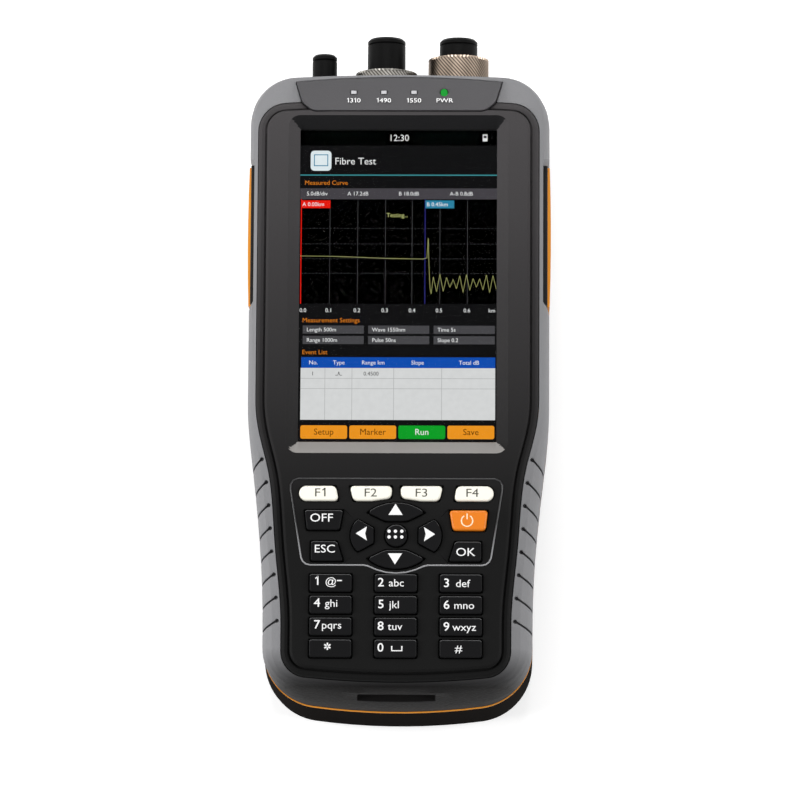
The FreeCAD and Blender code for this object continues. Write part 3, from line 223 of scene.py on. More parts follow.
@dataclass(frozen=True)
class Metal(Grained):
    """Turned or plated metal, whose grain is its machining lines, with dull soil in its grooves.

    Attributes:
        soil: Colour where the mesh's "groove" attribute is one.
        drift: Length over which the colour drifts, in mm.
        spread: How far the roughness strays, as a share of its mean.
    """

    soil: str = "#2E2823"
    drift: float = 6.0
    spread: float = 0.3

    def shade(self, tree: Tree) -> Socket:
        """Build the metal's shader."""
        drift = noise(tree, self.drift, 4.0)
        groove = node(tree, "Attribute", attribute_name="groove").outputs["Fac"]
        bare = mix(tree, drift, linear(self.colour), linear(self.second))
        colour = mix(tree, groove, bare, linear(self.soil))
        fine = noise(tree, self.grain, 2.0)
        return self.shader(tree, colour, fine, drift, self.roughness * self.spread, {"Metallic": 1.0})


@dataclass(frozen=True)
class CoatedGlass(Finish):
    """Chemically hardened cover glass with an anti-glare coating, almost clear from the front.

    Attributes:
        name: Common name of the material and its finish.
        index: Refractive index, low because the coating takes most of the reflection away.
        roughness: Roughness of what reflection is left.
    """

    name: str
    index: float = 1.05
    roughness: float = 0.04

    def shade(self, tree: Tree) -> Socket:
        """Build the glass's shader."""
        edge = node(tree, "Fresnel", {"IOR": self.index})
        clear = node(tree, "BsdfTransparent", {"Color": linear("#FBFCFC")})
        shine = node(tree, "BsdfGlossy", {"Roughness": self.roughness})
        return node(tree, "MixShader", {0: edge, 1: clear, 2: shine}).outputs[0]


@dataclass(frozen=True)
class Lit(Finish):
    """Lit picture element or lamp: its own light, seen at about the colour that is written.

    Attributes:
        name: What is lit.
        colour: Its colour.
        strength: Strength of its light, with one for the written colour.
        cell: Size of the cells in which the light is uneven, in mm.
        dimmest: Share of the strength in the dimmest cell.
        brightest: Share of the strength in the brightest cell.
    """

    name: str
    colour: str
    strength: float = 1.0
    cell: float = 2.0
    dimmest: float = 0.94
    brightest: float = 1.04

    def shade(self, tree: Tree) -> Socket:
        """Build the lit element's shader."""
        ends = {"To Min": self.strength * self.dimmest, "To Max": self.strength * self.brightest}
        level = node(tree, "MapRange", {"Value": noise(tree, self.cell, 1.0), **ends})
        return node(tree, "Emission", {"Color": linear(self.colour), "Strength": level}).outputs[0]


class Skin:
    """Every finish on the instrument, by what it is made of; some carry painted highlights or painted shade
    as well.
    """

    # Soft-touch painted ABS: dull charcoal round the display, with painted shade that darkens it to close to
    # black round the keys, towards the foot.
    HOUSING = Moulded(
        "abs_soft_touch_black", "#413F40", "#474546", 0.55, 0.9, 0.10, 0.04, "#171717", 213.0, 70.0
    )
    # The same paint in the shade of the recess, where no lamp reaches it.
    SHADED = Moulded("abs_soft_touch_shaded", "#1A1A1B", "#1E1E1F", 0.6, 0.9, 0.10, 0.03)
    # Polished slope of the recess, with a painted highlight: pale grey where it turns the light up to the
    # eye.
    SILL = Moulded("abs_polished_slope", "#7E7B78", "#8A8784", 0.35, 0.9, 0.05, 0.3)
    # Overmoulded thermoplastic elastomer: mid grey, fine grain and a dry, even gloss; the grey one has
    # painted shade that darkens it to near black at the foot.
    BUMPER = Moulded("tpe_overmould_grey", "#7C7C7E", "#848486", 0.55, 1.0, 0.14, 0.04, "#151414", 26.0, 13.0)
    BUMPER_BACK = Moulded("tpe_overmould_charcoal", "#201E1D", "#262423", 0.60, 1.0, 0.14, 0.0)
    # Bright moulded ABS: even orange with a satin gloss.
    FRAME = Moulded("abs_satin_orange", "#F79A22", "#FBA52B", 0.38, 0.8, 0.05, 0.45)
    # Painted polycarbonate: lighter grey, smooth, for the lamp strip.
    PANEL = Moulded("polycarbonate_painted_grey", "#454446", "#4B4A4C", 0.50, 0.7, 0.05, 0.15)
    # Glass-filled nylon: black, a little dry, with a plain grain.
    TRIM = Moulded("glass_filled_nylon_black", "#101011", "#161617", 0.5, 0.8, 0.12, 0.2)
    # Frosted polycarbonate: pale and milky, so an unlit lamp reads as a light grey bar.
    LENS = Moulded("polycarbonate_frosted_clear", "#B0B0B3", "#BEBEC1", 0.3, 0.5, 0.03, 0.5)
    # The same lens with its lamp on: an even green.
    LENS_LIT = Lit("lamp_lit_green", "#28A03C", 1.0)
    # Coated glass: the picture shows through it, with only a faint shine at a slant.
    GLASS = CoatedGlass("cover_glass_anti_glare")
    # Foam: dead black and rough, so the gap round the display stays dark.
    GASKET = Moulded("closed_cell_foam_black", "#0E0E0E", "#141414", 0.9, 0.5, 0.3, 0.2)
    # Unlit display: deep black with a gloss.
    DISPLAY = Moulded("lcd_module_black", "#040404", "#070707", 0.3, 0.4, 0.02, 0.3)
    # Silicone mat: soft black between the keys.
    MAT = Moulded("silicone_rubber_black", "#0F0F10", "#161617", 0.55, 0.7, 0.1, 0.3)
    # Solder mask: glossy deep green.
    BOARD = Moulded("fr4_solder_mask_green", "#135A32", "#1B6E3F", 0.35, 0.6, 0.06, 0.5)
    # Blasted aluminium: light grey with a matt sparkle.
    MODULE = Metal("aluminium_bead_blasted", "#A9ABAD", "#B9BBBD", 0.42, 0.4, 0.15)
    # Plated brass: cool silver with soft highlights and soiled grooves.
    NICKEL = Metal("brass_nickel_plated", "#99968F", "#B4B1AB", 0.34, 0.3, 0.05)
    # The same plating, handled more: warmer, where the brass starts to show.
    NICKEL_WARM = Metal("brass_nickel_worn", "#9C8C7D", "#C2B09F", 0.34, 0.3, 0.05)
    # Dip-moulded cap: near black with a soft waxy gloss.
    CAP = Moulded("pvc_cap_black", "#080808", "#0C0C0C", 0.42, 0.7, 0.08, 0.06)
    # Silicone keys: bright ivory and orange, and a black that only the painted highlights on its edges set
    # off.
    KEY_IVORY = Moulded("silicone_key_ivory", "#F2EFE2", "#F8F5E9", 0.45, 0.6, 0.05, 0.4)
    KEY_ORANGE = Moulded("silicone_key_orange", "#DC7410", "#E07C17", 0.42, 0.6, 0.05, 0.35)
    KEY_BLACK = Moulded("silicone_key_black", "#121213", "#161617", 0.40, 0.6, 0.06, 0.05)
    # Painted highlight along the edges of a key that face the ports: a thin dark grey line of light.
    KEY_EDGE = Moulded("silicone_key_rubbed_edge", "#565657", "#5E5E5F", 0.35, 0.6, 0.03, 0.2)
    # Shrink sleeve of the battery: glossy blue.
    BATTERY = Moulded("pvc_shrink_blue", "#2750A8", "#2F5CB8", 0.3, 0.6, 0.03, 0.5)
    # Zinc plating: mid grey, bright on its edges.
    STEEL = Metal("steel_zinc_plated", "#8E9094", "#A4A6AA", 0.3, 0.3, 0.06)
    # Screen inks: flat and even, white on black and charcoal on ivory.
    INK_WHITE = Moulded("screen_ink_white", "#EDEDED", "#F6F6F6", 0.5, 0.4, 0.02, 0.3)
    INK_DARK = Moulded("screen_ink_charcoal", "#4A4A44", "#53534C", 0.5, 0.4, 0.02, 0.3)
    # Thin raised line of polished polymer, with a painted highlight that is pale grey at the foot and lost in
    # the black towards the ports.
    BEAD = Moulded("abs_bead_grey", "#8C8C8E", "#98989A", 0.3, 0.6, 0.05, 0.4, "#2C2C2D", 55.0, 68.0)
    # Cream ink: softer than white on the orange key.
    INK_CREAM = Moulded("screen_ink_cream", "#FBDDB8", "#FDE6C8", 0.5, 0.4, 0.02, 0.3)


SLOT_SKINS: dict[str, Finish] = {
    "housing_black": Skin.HOUSING, "bumper_grey": Skin.BUMPER, "bumper_dark": Skin.BUMPER_BACK,
    "frame_orange": Skin.FRAME, "panel_grey": Skin.PANEL, "trim_black": Skin.TRIM, "lens_clear": Skin.LENS,
    "lens_green": Skin.LENS_LIT, "glass": Skin.GLASS, "gasket": Skin.GASKET, "display": Skin.DISPLAY,
    "mat_rubber": Skin.MAT, "board_green": Skin.BOARD, "module_metal": Skin.MODULE, "nickel": Skin.NICKEL,
    "cap_black": Skin.CAP, "key_ivory": Skin.KEY_IVORY, "key_orange": Skin.KEY_ORANGE,
    "key_black": Skin.KEY_BLACK, "battery_blue": Skin.BATTERY, "steel": Skin.STEEL,
}


def only(piece: Piece) -> None:
    """Select this piece alone and make it active."""
    bpy.ops.object.select_all(action="DESELECT")
    piece.select_set(True)
    bpy.context.view_layer.objects.active = piece


@contextmanager
def editing(piece: Piece) -> Iterator[None]:
    """Hold a piece in edit mode for the block that follows."""
    only(piece)
    bpy.ops.object.mode_set(mode="EDIT")
    try:
        yield
    finally:
        bpy.ops.object.mode_set(mode="OBJECT")


def pick(piece: Piece, kind: str, test: Callable[..., bool]) -> int:
    """Select the parts of a mesh in edit mode that pass a test.

    Args:
        piece: Object in edit mode.
        kind: "VERT", "EDGE" or "FACE".
        test: Takes one of the mesh's parts and says whether it is wanted.

    Returns:
        How many were selected.
    """
    bpy.ops.mesh.select_mode(type=kind)
    bpy.ops.mesh.select_all(action="DESELECT")
    mesh = bmesh.from_edit_mesh(piece.data)
    wanted = [p for p in {"VERT": mesh.verts, "EDGE": mesh.edges, "FACE": mesh.faces}[kind] if test(p)]
    for part in wanted:
        part.select_set(True)
    mesh.select_flush_mode()
    bmesh.update_edit_mesh(piece.data)
    return len(wanted)


def apply_modifier(piece: Piece, kind: str, **settings: object) -> None:
    """Add a modifier of this kind and with these settings to a piece, and apply it."""
    only(piece)
    modifier = piece.modifiers.new(kind.lower(), kind)
    for key, value in settings.items():
        setattr(modifier, key, value)
    bpy.ops.object.modifier_apply(modifier=modifier.name)


def settle(piece: Piece, at: Triple) -> None:
    """Move a piece to a place in mm, and put its place, turn and scale into its mesh."""
    piece.location = [c * MM for c in at]
    only(piece)
    bpy.ops.object.transform_apply(location=True, rotation=True, scale=True)


def slot_of(name: str) -> str:
    """Say which material slot a CAD node has."""
    return frame["nodes"][name].data.materials[0].name


def dress(
    piece: Piece,
    name: str,
    finish: Finish,
    body: str = "housing",
    stands_for: tuple[str, ...] = (),
) -> None:
    """Name and finish a piece, and tie it to its body and the CAD nodes that it stands for.

    Args:
        piece: The finished mesh.
        name: Its name.
        finish: Its material.
        body: CAD body that it rides on.
        stands_for: CAD nodes that it replaces.
    """
    piece.name = piece.data.name = name
    piece.data.materials.clear()
    piece.data.materials.append(finish.material())
    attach(piece, body)
    if stands_for:
        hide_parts(*stands_for)


def smooth(piece: Piece, angle: float = 30.0, weighted: bool = False) -> None:
    """Shade a piece smooth up to an angle in degrees; weighted, large flat faces keep their own shading."""
    only(piece)
    bpy.ops.object.shade_smooth_by_angle(angle=math.radians(angle))
    if weighted:
        apply_modifier(piece, "WEIGHTED_NORMAL", mode="FACE_AREA", weight=100, keep_sharp=True)


def placed(name: str, data: bpy.types.ID) -> Piece:
    """Put a new object with this data into the scene."""
    piece = bpy.data.objects.new(name, data)
    bpy.context.scene.collection.objects.link(piece)
    return piece


def copy_of(name: str) -> Piece:
    """Copy a CAD node, unparented and with a mesh of its own, and merge its loose triangles."""
    piece = placed(name + "_copy", frame["nodes"][name].data.copy())
    only(piece)
    bpy.ops.mesh.customdata_custom_splitnormals_clear()
    with editing(piece):
        bpy.ops.mesh.select_all(action="SELECT")
        bpy.ops.mesh.remove_doubles(threshold=0.002 * MM)
    return piece


def text_mesh(
    words: str, size: float, at: Triple, align: Align = Align.LEFT, weight: float = 0.0
) -> Piece:
    """Make flat lettering that faces up.

    Args:
        words: What it says.
        size: Height of a capital, in mm.
        at: Place of its baseline, in mm.
        align: Where it is held.
        weight: Extra thickness of the strokes, in mm.

    Returns:
        The lettering as a mesh at its place.
    """
    bpy.ops.object.text_add(location=(0, 0, 0))
    piece = bpy.context.active_object
    piece.data.body = words
    piece.data.align_x = align.name
    piece.data.size = size * MM / CAPITAL
    piece.data.offset = weight * MM
    piece.data.resolution_u = 3
    only(piece)
    bpy.ops.object.convert(target="MESH")
    piece = bpy.context.active_object
    settle(piece, at)
    return piece


def lettering(
    words: str,
    size: float,
    at: Triple,
    align: Align = Align.LEFT,
    weight: float = 0.0,
    wide: float = 1.0,
) -> Piece:
    """Make flat lettering as text_mesh does, stretched across, and with a flag on the figure one."""
    end, gap, pieces = 0.0, 0.14 * size, []
    for run in re.findall("1|[^1]+", words):
        if run == "1":
            stem = end + 0.3 * size
            flag = (end + 0.32 * size, 0.95 * size), (end + 0.06 * size, 0.72 * size)
            pieces.append(stroke((stem, 0), (stem, size), 0.14 * size, 0))
            pieces.append(stroke(*flag, 0.12 * size, 0))
        else:
            pieces.append(text_mesh(run, size, (end, 0, 0), weight=weight))
        end = max(v.co.x for v in pieces[-2 if run == "1" else -1].data.vertices) / MM + gap
    piece = joined(pieces)
    shift = align.value * (end - gap) * wide
    piece.scale.x = wide
    settle(piece, (at[0] - shift, *at[1:]))
    return piece


def plate(left: float, right: float, low: float, high: float, level: float) -> Piece:
    """Make one flat rectangle that faces up, from its sides in mm."""
    bpy.ops.mesh.primitive_plane_add(size=1)
    piece = bpy.context.active_object
    piece.scale = ((right - left) * MM, (high - low) * MM, 1)
    settle(piece, ((left + right) / 2, (low + high) / 2, level))
    return piece


def joined(pieces: list[Piece]) -> Piece:
    """Join meshes into the first of them."""
    only(pieces[0])
    for piece in pieces:
        piece.select_set(True)
    if len(pieces) > 1:
        bpy.ops.object.join()
    return bpy.context.active_object


def ribbon(
    points: list[Pair], width: float, level: float, closed: bool = False, flat: float = 0.1
) -> Piece:
    """Make a line of even width through points, facing up.

    Args:
        points: Places along the line, in mm.
        width: Width of the line, in mm.
        level: Height of its middle, in mm.
        closed: Whether its ends meet.
        flat: Height of its section as a share of its width.

    Returns:
        The line as a mesh at its place.
    """
    curve = bpy.data.curves.new("line", "CURVE")
    curve.dimensions = "3D"
    spline = curve.splines.new("POLY")
    spline.points.add(len(points) - 1)
    for point, (x, y) in zip(spline.points, points):
        point.co = (x * MM, y * MM, 0, 1)
    spline.use_cyclic_u = closed
    curve.bevel_depth = width * MM / 2
    curve.bevel_resolution = 2
    piece = placed("line", curve)
    only(piece)
    bpy.ops.object.convert(target="MESH")
    piece = bpy.context.active_object
    piece.scale.z = flat
    settle(piece, (0, 0, level))
    return piece


def stroke(start: Pair, end: Pair, width: float, level: float) -> Piece:
    """Lay one straight stroke between two places in mm, facing up."""
    piece = plate(-0.5, 0.5, -0.5, 0.5, 0)
    (x0, y0), (x1, y1) = start, end
    piece.scale = (math.hypot(x1 - x0, y1 - y0), width, 1)
    piece.rotation_euler = (0, 0, math.atan2(y1 - y0, x1 - x0))
    settle(piece, ((x0 + x1) / 2, (y0 + y1) / 2, level))
    return piece


@dataclass
class Studio:
    """White room: pale floor, a broad lamp beyond the ports, two side lamps and the camera.

    Attributes:
        aim: Place that the camera and the lamps look at, in m.
        distance: Distance of the camera from it, in m.
        tilt: Turn of the camera towards the foot, in degrees.
        aside: Turn of the camera to the right, in degrees.
        roll: Turn of the camera about its own axis, in degrees.
        lens: Focal length, in mm.
        ambient: Strength of the even light of the room.
        lift: Strength of the floor's own light, where the camera or a reflection sees it.
        size: Side of the floor, in m.
        lamps: Name, place, power and side of each square lamp, in m and W.
    """

    aim: Triple = (0.001, -0.0115, 0.0555)
    distance: float = 1.4
    tilt: float = 7.75
    aside: float = 1.5
    roll: float = 0.35
    lens: float = 186.0
    ambient: float = 0.24
    lift: float = 0.5
    size: float = 6.0
    lamps: tuple[tuple[str, Triple, float, float], ...] = (
        ("lamp_ports", (0.0, 0.42, 0.42), 1.9, 0.3),
        ("lamp_left", (-0.8, -0.12, 0.45), 7.0, 0.4),
        ("lamp_right", (0.8, -0.12, 0.45), 5.0, 0.4),
    )

    def build(self) -> None:
        """Add the world, the floor, the lamps and the camera."""
        scene = bpy.context.scene
        scene.view_settings.view_transform = "Standard"
        self.sky(scene)
        self.floor()
        for lamp in self.lamps:
            self.lamp(*lamp)
        self.camera(scene)

    def seen(self, tree: Tree, *rays: str) -> Socket:
        """Make a switch that is one for these kinds of ray, and return its socket."""
        path = node(tree, "LightPath")
        first, *others = (path.outputs[f"Is {ray} Ray"] for ray in rays)
        for other in others:
            first = node(tree, "Math", {0: first, 1: other}, operation="MAXIMUM").outputs[0]
        return first

    def sky(self, scene: bpy.types.Scene) -> None:
        """Light the room evenly, and show it white to the camera, in metal and through glass."""
        world = bpy.data.worlds.new("room")
        scene.world = world
        tree = cleared(world)
        seen = self.seen(tree, "Camera", "Glossy", "Transmission")
        soft = node(tree, "Background", {"Color": (1, 1, 1, 1), "Strength": self.ambient})
        white = node(tree, "Background", {"Color": (1, 1, 1, 1), "Strength": 1.0})
        both = node(tree, "MixShader", {0: seen, 1: soft, 2: white})
        node(tree, "OutputWorld", {"Surface": both})

    def floor(self) -> None:
        """Lay the pale floor, which keeps the soft shadow."""
        bpy.ops.mesh.primitive_plane_add(size=self.size, location=(0, 0, 0))
        floor = bpy.context.active_object
        floor.name = "floor"
        material = bpy.data.materials.new("paper_white")
        tree = cleared(material)
        seen = self.seen(tree, "Camera", "Glossy")
        lift = node(tree, "Math", {0: seen, 1: self.lift}, operation="MULTIPLY")
        paper = node(tree, "BsdfDiffuse", {"Color": linear("#E4E4E4")})
        glow = node(tree, "Emission", {"Color": (1, 1, 1, 1), "Strength": lift})
        node(tree, "OutputMaterial", {"Surface": node(tree, "AddShader", {0: paper, 1: glow})})
        floor.data.materials.append(material)

    def lamp(self, name: str, at: Triple, power: float, side: float) -> None:
        """Hang a square lamp that faces the instrument."""
        lamp = bpy.data.lights.new(name, "AREA")
        lamp.energy = power
        lamp.size = side
        holder = placed(name, lamp)
        holder.location = at
        holder.rotation_euler = (Vector(self.aim) - Vector(at)).to_track_quat("-Z", "Y").to_euler()

    def camera(self, scene: bpy.types.Scene) -> None:
        """Set the camera over the screen, a little towards the foot."""
        lens = bpy.data.cameras.new("camera")
        lens.lens = self.lens
        lens.sensor_width = 36
        holder = placed("camera", lens)
        tilt, aside = math.radians(self.tilt), math.radians(self.aside)
        away = Vector((math.sin(aside), -math.sin(tilt) * math.cos(aside), math.cos(tilt) * math.cos(aside)))
        holder.location = Vector(self.aim) + away * self.distance
        right = Vector((0, 1, 0)).cross(away).normalized()
        turn = Matrix((right, away.cross(right), away)).transposed()
        holder.rotation_euler = (turn @ Matrix.Rotation(math.radians(self.roll), 3, "Z")).to_euler()
        scene.camera = holder


@dataclass
class Shells:
    """Moulded housings and their rubber bumpers, with rounded edges.

    Attributes:
        nodes: By CAD node, the width of its rounded edges, in mm.
        sharp: Smallest angle of an edge that is rounded, in degrees.
        slopes: End slopes of the display recess: name, way that each looks along y, the stations that it lies
        between, and its finish: a painted highlight on the sill and the paint darkened with painted shade on
            the head.
        slope_half: Half the width in which their faces lie, in mm.
        slope_low: Lowest height of their faces, in mm.
        slope_high: Highest height of their faces, in mm.
        flat: Least upward part of the normal of a flat face, which keeps a shading of its own.
    """

    nodes: tuple[tuple[str, float], ...] = (
        ("front_bumper", 0.3), ("front_housing", 0.3), ("rear_bumper", 0.4), ("indicator_panel", 0.3),
        ("rear_shell", 0.3), ("battery_door", 0.25), ("stand", 0.3), ("end_panel", 0.25),
        ("side_pad_left", 0.25), ("side_pad_right", 0.25),
    )
    sharp: float = 35.0
    slopes: tuple[tuple[str, int, float, float, Finish], ...] = (
        ("recess_sill", 1, 90.0, 97.5, Skin.SILL),
        ("recess_head", -1, 201.0, 209.0, Skin.SHADED),
    )
    slope_half: float = 40.0
    slope_low: float = 53.5
    slope_high: float = 57.5
    flat: float = 0.9999

    def build(self) -> None:
        """Round the edges of every outer shell."""
        for name, width in self.nodes:
            slot = slot_of(name)
            piece = copy_of(name)
            apply_modifier(
                piece, "BEVEL", width=width * MM, segments=2, limit_method="ANGLE", miter_outer="MITER_ARC",
                angle_limit=math.radians(self.sharp), use_clamp_overlap=False, loop_slide=False,
            )
            if name == "front_housing":
                self.walls(piece)
                with editing(piece):
                    pick(piece, "EDGE", lambda e: len({f.normal.z > self.flat for f in e.link_faces}) == 2)
                    bpy.ops.mesh.mark_sharp()
            smooth(piece, weighted=True)
            dress(piece, name + "_skin", SLOT_SKINS[slot], frame["nodes"][name]["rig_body"], (name,))
            log.info("%s: %d faces", piece.name, len(piece.data.polygons))

    def walls(self, housing: Piece) -> None:
        """Part the two end slopes of the display recess from the housing, each with its own finish: a painted
        highlight or painted shade.
        """
        for name, way, near, far, finish in self.slopes:
            with editing(housing):
                pick(housing, "FACE", lambda f: self.sloping(f, way, near, far))
                bpy.ops.mesh.separate(type="SELECTED")
            wall = next(piece for piece in bpy.context.selected_objects if piece is not housing)
            smooth(wall)
            dress(wall, name, finish)

    def sloping(self, face: bmesh.types.BMFace, way: int, near: float, far: float) -> bool:
        """Say whether a face belongs to the end slope that looks this way and lies between two stations."""
        x, y, z = face.calc_center_median() / MM
        inside = near < y - FOOT < far and abs(x) < self.slope_half and self.slope_low < z < self.slope_high
        return inside and face.normal.y * way > 0.35 and abs(face.normal.x) < 0.5


@dataclass
class Keypad:
    """Silicone keys with rounded corners and crowned tops, their lettering and the bead round them.

    Heights are over the back and stations from the foot, all in mm.

    Attributes:
        cut: Height under the CAD key's rim, where the crowned top starts.
        top: Height of the crowned top.
        ink: Height of the lettering.
        face: Height of the housing's face.
        crown: How far each ring of the crown runs in and up, as shares of its radius.
        rounding: By key or slot, the crown's radius, the corners' setback and the angle, in degrees, under
            which facets are merged.
        plain: The same for any other key.
        columns: Place across of each column of number keys.
        drops: How far each column's lettering lies off its row.
        foot_row: Station of the lowest row.
        row_step: Distance between rows.
        digit: Height of a digit.
        small: Height of a capital of the small letters.
        stretch: Stretch across of both.
        numbers: Each key's digit and letters, and where each starts from its middle.
        words: Key, lettering, place across, station and height.
        functions: Function keys, and the place across of their lettering.
        arrows: Key, middle of the arrow's base, its turn in degrees and its base's notch.
        half_bead: Right half of the bead's line, as places across and stations.
    """

    cut: float = 57.2
    top: float = 58.04
    ink: float = 58.07
    face: float = 57.0
    crown: tuple[Pair, ...] = ((0.134, 0.5), (0.366, 0.366), (0.5, 0.134))
    rounding: dict[str, Triple] = field(
        default_factory=lambda: {
            "key_ivory": (0.7, 1.5, 1.0), "key_orange": (0.8, 1.2, 1.0), "key_up": (0.35, 1.3, 7.0),
            "key_down": (0.35, 1.3, 7.0), "key_left": (0.2, 0.45, 1.0), "key_right": (0.2, 0.45, 1.0),
        }
    )
    plain: Triple = (0.5, 0.9, 1.0)
    columns: tuple[float, ...] = (-21.9, 0.0, 21.9)
    drops: tuple[float, ...] = (-0.7, -1.1, -1.25)
    foot_row: float = 25.3
    row_step: float = 7.35
    digit: float = 3.0
    small: float = 2.6
    stretch: float = 1.08
    numbers: tuple[tuple[str, float, str, float], ...] = (
        ("1", -5.3, "@-", -1.9), ("2", -6.1, "abc", -2.4), ("3", -5.9, "def", -1.8),
        ("4", -5.6, "ghi", -1.9), ("5", -6.0, "jkl", -2.2), ("6", -5.9, "mno", -2.4),
        ("7", -5.6, "pqrs", -3.0), ("8", -6.1, "tuv", -2.6), ("9", -5.9, "wxyz", -2.8),
    )
    words: tuple[tuple[str, str, float, float, float], ...] = (
        ("key_off", "OFF", -25.2, 68.05, 2.9), ("key_escape", "ESC", -24.1, 57.6, 2.8),
        ("key_enter", "OK", 23.4, 56.6, 2.85), ("key_hash", "#", 21.2, 24.1, 2.7),
    )
    arrows: tuple[tuple[str, float, float, float, float], ...] = (
        ("key_up", -0.2, 70.4, 0.0, 0.0), ("key_down", -0.3, 57.4, 180.0, 0.0),
        ("key_left", -9.8, 64.1, 90.0, 0.6), ("key_right", 9.4, 63.9, 270.0, 0.6),
    )
    functions: tuple[tuple[str, float], ...] = (("f1", -25.8), ("f2", -8.8), ("f3", 8.3), ("f4", 25.5))
    half_bead: tuple[Pair, ...] = (
        (0.0, 50.8), (3.5, 51.1), (6.6, 52.0), (9.4, 53.2), (11.0, 53.5), (28.9, 53.5), (30.3, 53.8),
        (31.4, 54.7), (32.0, 56.0), (35.7, 78.9), (35.8, 80.6), (34.9, 82.1), (33.2, 82.8),
    )

    def build(self) -> None:
        """Build each key, its legend and the bead."""
        for name in sorted(n for n in frame["nodes"] if n.startswith("key_")):
            self.key(name)
        self.digits()
        self.signs()
        self.bead()

    def key(self, name: str) -> None:
        """Dress one key: its upright corners are rounded and a crowned top replaces the CAD rim."""
        slot = slot_of(name)
        radius, back, merge = self.rounding.get(name, self.rounding.get(slot, self.plain))
        piece = copy_of(name)
        with editing(piece):
            bpy.ops.mesh.select_all(action="SELECT")
            level = self.cut * MM
            bpy.ops.mesh.bisect(plane_co=(0, 0, level), plane_no=(0, 0, 1), use_fill=True, clear_outer=True)
            bpy.ops.mesh.select_all(action="SELECT")
            bpy.ops.mesh.dissolve_limited(angle_limit=math.radians(merge))
            if pick(piece, "EDGE", self.corner):
                bpy.ops.mesh.bevel(offset=back * MM, segments=4, affect="EDGES", clamp_overlap=False)
            pick(piece, "FACE", lambda f: f.normal.z > 0.9 and f.calc_center_median().z > level - 0.05 * MM)
            rise = self.top - radius - self.cut
            bpy.ops.mesh.extrude_region_move(TRANSFORM_OT_translate={"value": (0, 0, rise * MM)})
            for inward, up in self.crown:
                bpy.ops.mesh.inset(thickness=inward * radius * MM, use_even_offset=False)
                bpy.ops.transform.translate(value=(0, 0, up * radius * MM))
        smooth(piece, 40, weighted=True)
        dress(piece, name + "_cap", SLOT_SKINS[slot], name, (name,))
        # Black keys get a painted highlight line along their edges that face the ports.
        if slot == "key_black":
            self.paint_highlight(piece, name, radius)

    def paint_highlight(self, key: Piece, name: str, radius: float) -> None:
        """Lay a painted highlight line along the edges of a key that face the ports."""
        low, high = (self.top - 0.5 * radius - 0.02) * MM, (self.top - 0.1 * radius) * MM
        with editing(key):
            pick(key, "FACE", lambda f: f.normal.y > 0.3 and f.normal.z > 0.4
                 and low < f.calc_center_median().z < high)
            bpy.ops.mesh.duplicate()
            bpy.ops.transform.shrink_fatten(value=0.01 * MM)
            bpy.ops.mesh.separate(type="SELECTED")
        edge = next(piece for piece in bpy.context.selected_objects if piece is not key)
        dress(edge, name + "_edge", Skin.KEY_EDGE, name)

    def corner(self, edge: bmesh.types.BMEdge) -> bool:
        """Say whether an edge is one of a key's upright corners, above its stem."""
        low, high = sorted(edge.verts, key=lambda v: v.co.z)
        upright = (high.co.xy - low.co.xy).length < 0.01 * MM and high.co.z - low.co.z > 1.0 * MM
        sharp = len(edge.link_faces) == 2 and edge.calc_face_angle() > math.radians(25)
        return upright and sharp and high.co.z > (self.cut - 0.1) * MM

    def put(self, key: str, pieces: list[Piece], ink: Finish = Skin.INK_WHITE) -> None:
        """Join a key's lettering and tie it to the key."""
        dress(joined(pieces), key + "_legend", ink, key)

    def digits(self) -> None:
        """Print the number keys, each with its digit and its small letters."""
        for i, (digit, start, small, follow) in enumerate(self.numbers):
            row, column = divmod(i, 3)
            x, y = self.columns[column], FOOT + self.foot_row + (3 - row) * self.row_step + self.drops[column]
            pieces = [lettering(digit, self.digit, (x + start, y, self.ink), weight=0.03, wide=self.stretch)]
            letters = small.rstrip("-")
            pieces.append(lettering(letters, self.small, (x + follow, y, self.ink), wide=self.stretch))
            if letters != small:
                pieces.append(stroke((x + 2.1, y + 1.5), (x + 3.8, y + 1.5), 0.4, self.ink))
            self.put("key_" + digit, pieces)
        y = FOOT + self.foot_row - 1.0
        zero = lettering("0", self.digit, (-6.1, y, self.ink), weight=0.03, wide=self.stretch)
        space = [(-1.2, y + 1.9), (-1.2, y + 0.3), (2.2, y + 0.3), (2.2, y + 1.9)]
        self.put("key_0", [zero, ribbon(space, 0.5, self.ink - 0.02)])

    def signs(self) -> None:
        """Print the words, the asterisk, the power sign, the arrows and the six dots."""
        for key, text, x, station, size in self.words:
            self.put(key, [lettering(text, size, (x, FOOT + station, self.ink), Align.CENTER, 0.0, 1.14)])
        for key, x in self.functions:
            name = lettering(key.upper(), 2.9, (x, FOOT + 76.6, self.ink), Align.CENTER, 0.0, 1.2)
            self.put("key_" + key, [name], Skin.INK_DARK)
        self.star((-22.8, FOOT + 26.0), 1.2)
        self.power((23.9, FOOT + 68.5), 1.9)
        for key, x, station, turn, notch in self.arrows:
            self.arrow(key, (x, FOOT + station), turn, notch)
        self.dots((-0.2, FOOT + 63.9), (2.15, 1.95))

    def star(self, at: Pair, arm: float) -> None:
        """Print the asterisk, from its middle and the length of its arms in mm."""
        pieces = []
        for turn in (30, 90, 150):
            dx, dy = arm * math.cos(math.radians(turn)), arm * math.sin(math.radians(turn))
            pieces.append(stroke((at[0] - dx, at[1] - dy), (at[0] + dx, at[1] + dy), 0.5, self.ink))
        self.put("key_star", pieces)

    def power(self, at: Pair, radius: float) -> None:
        """Print the power sign: a ring, open over 64 degrees at the top, and an upright bar in its gap."""
        (x, y), steps = at, 36
        turns = [math.radians(32 + 296 * i / steps) for i in range(steps + 1)]
        ring = [(x + radius * math.sin(a), y + radius * math.cos(a)) for a in turns]
        bar = [(x, y + 0.5), (x, y + 2.5)]
        self.put("key_power", [ribbon(line, 0.42, self.ink - 0.02) for line in (ring, bar)], Skin.INK_CREAM)

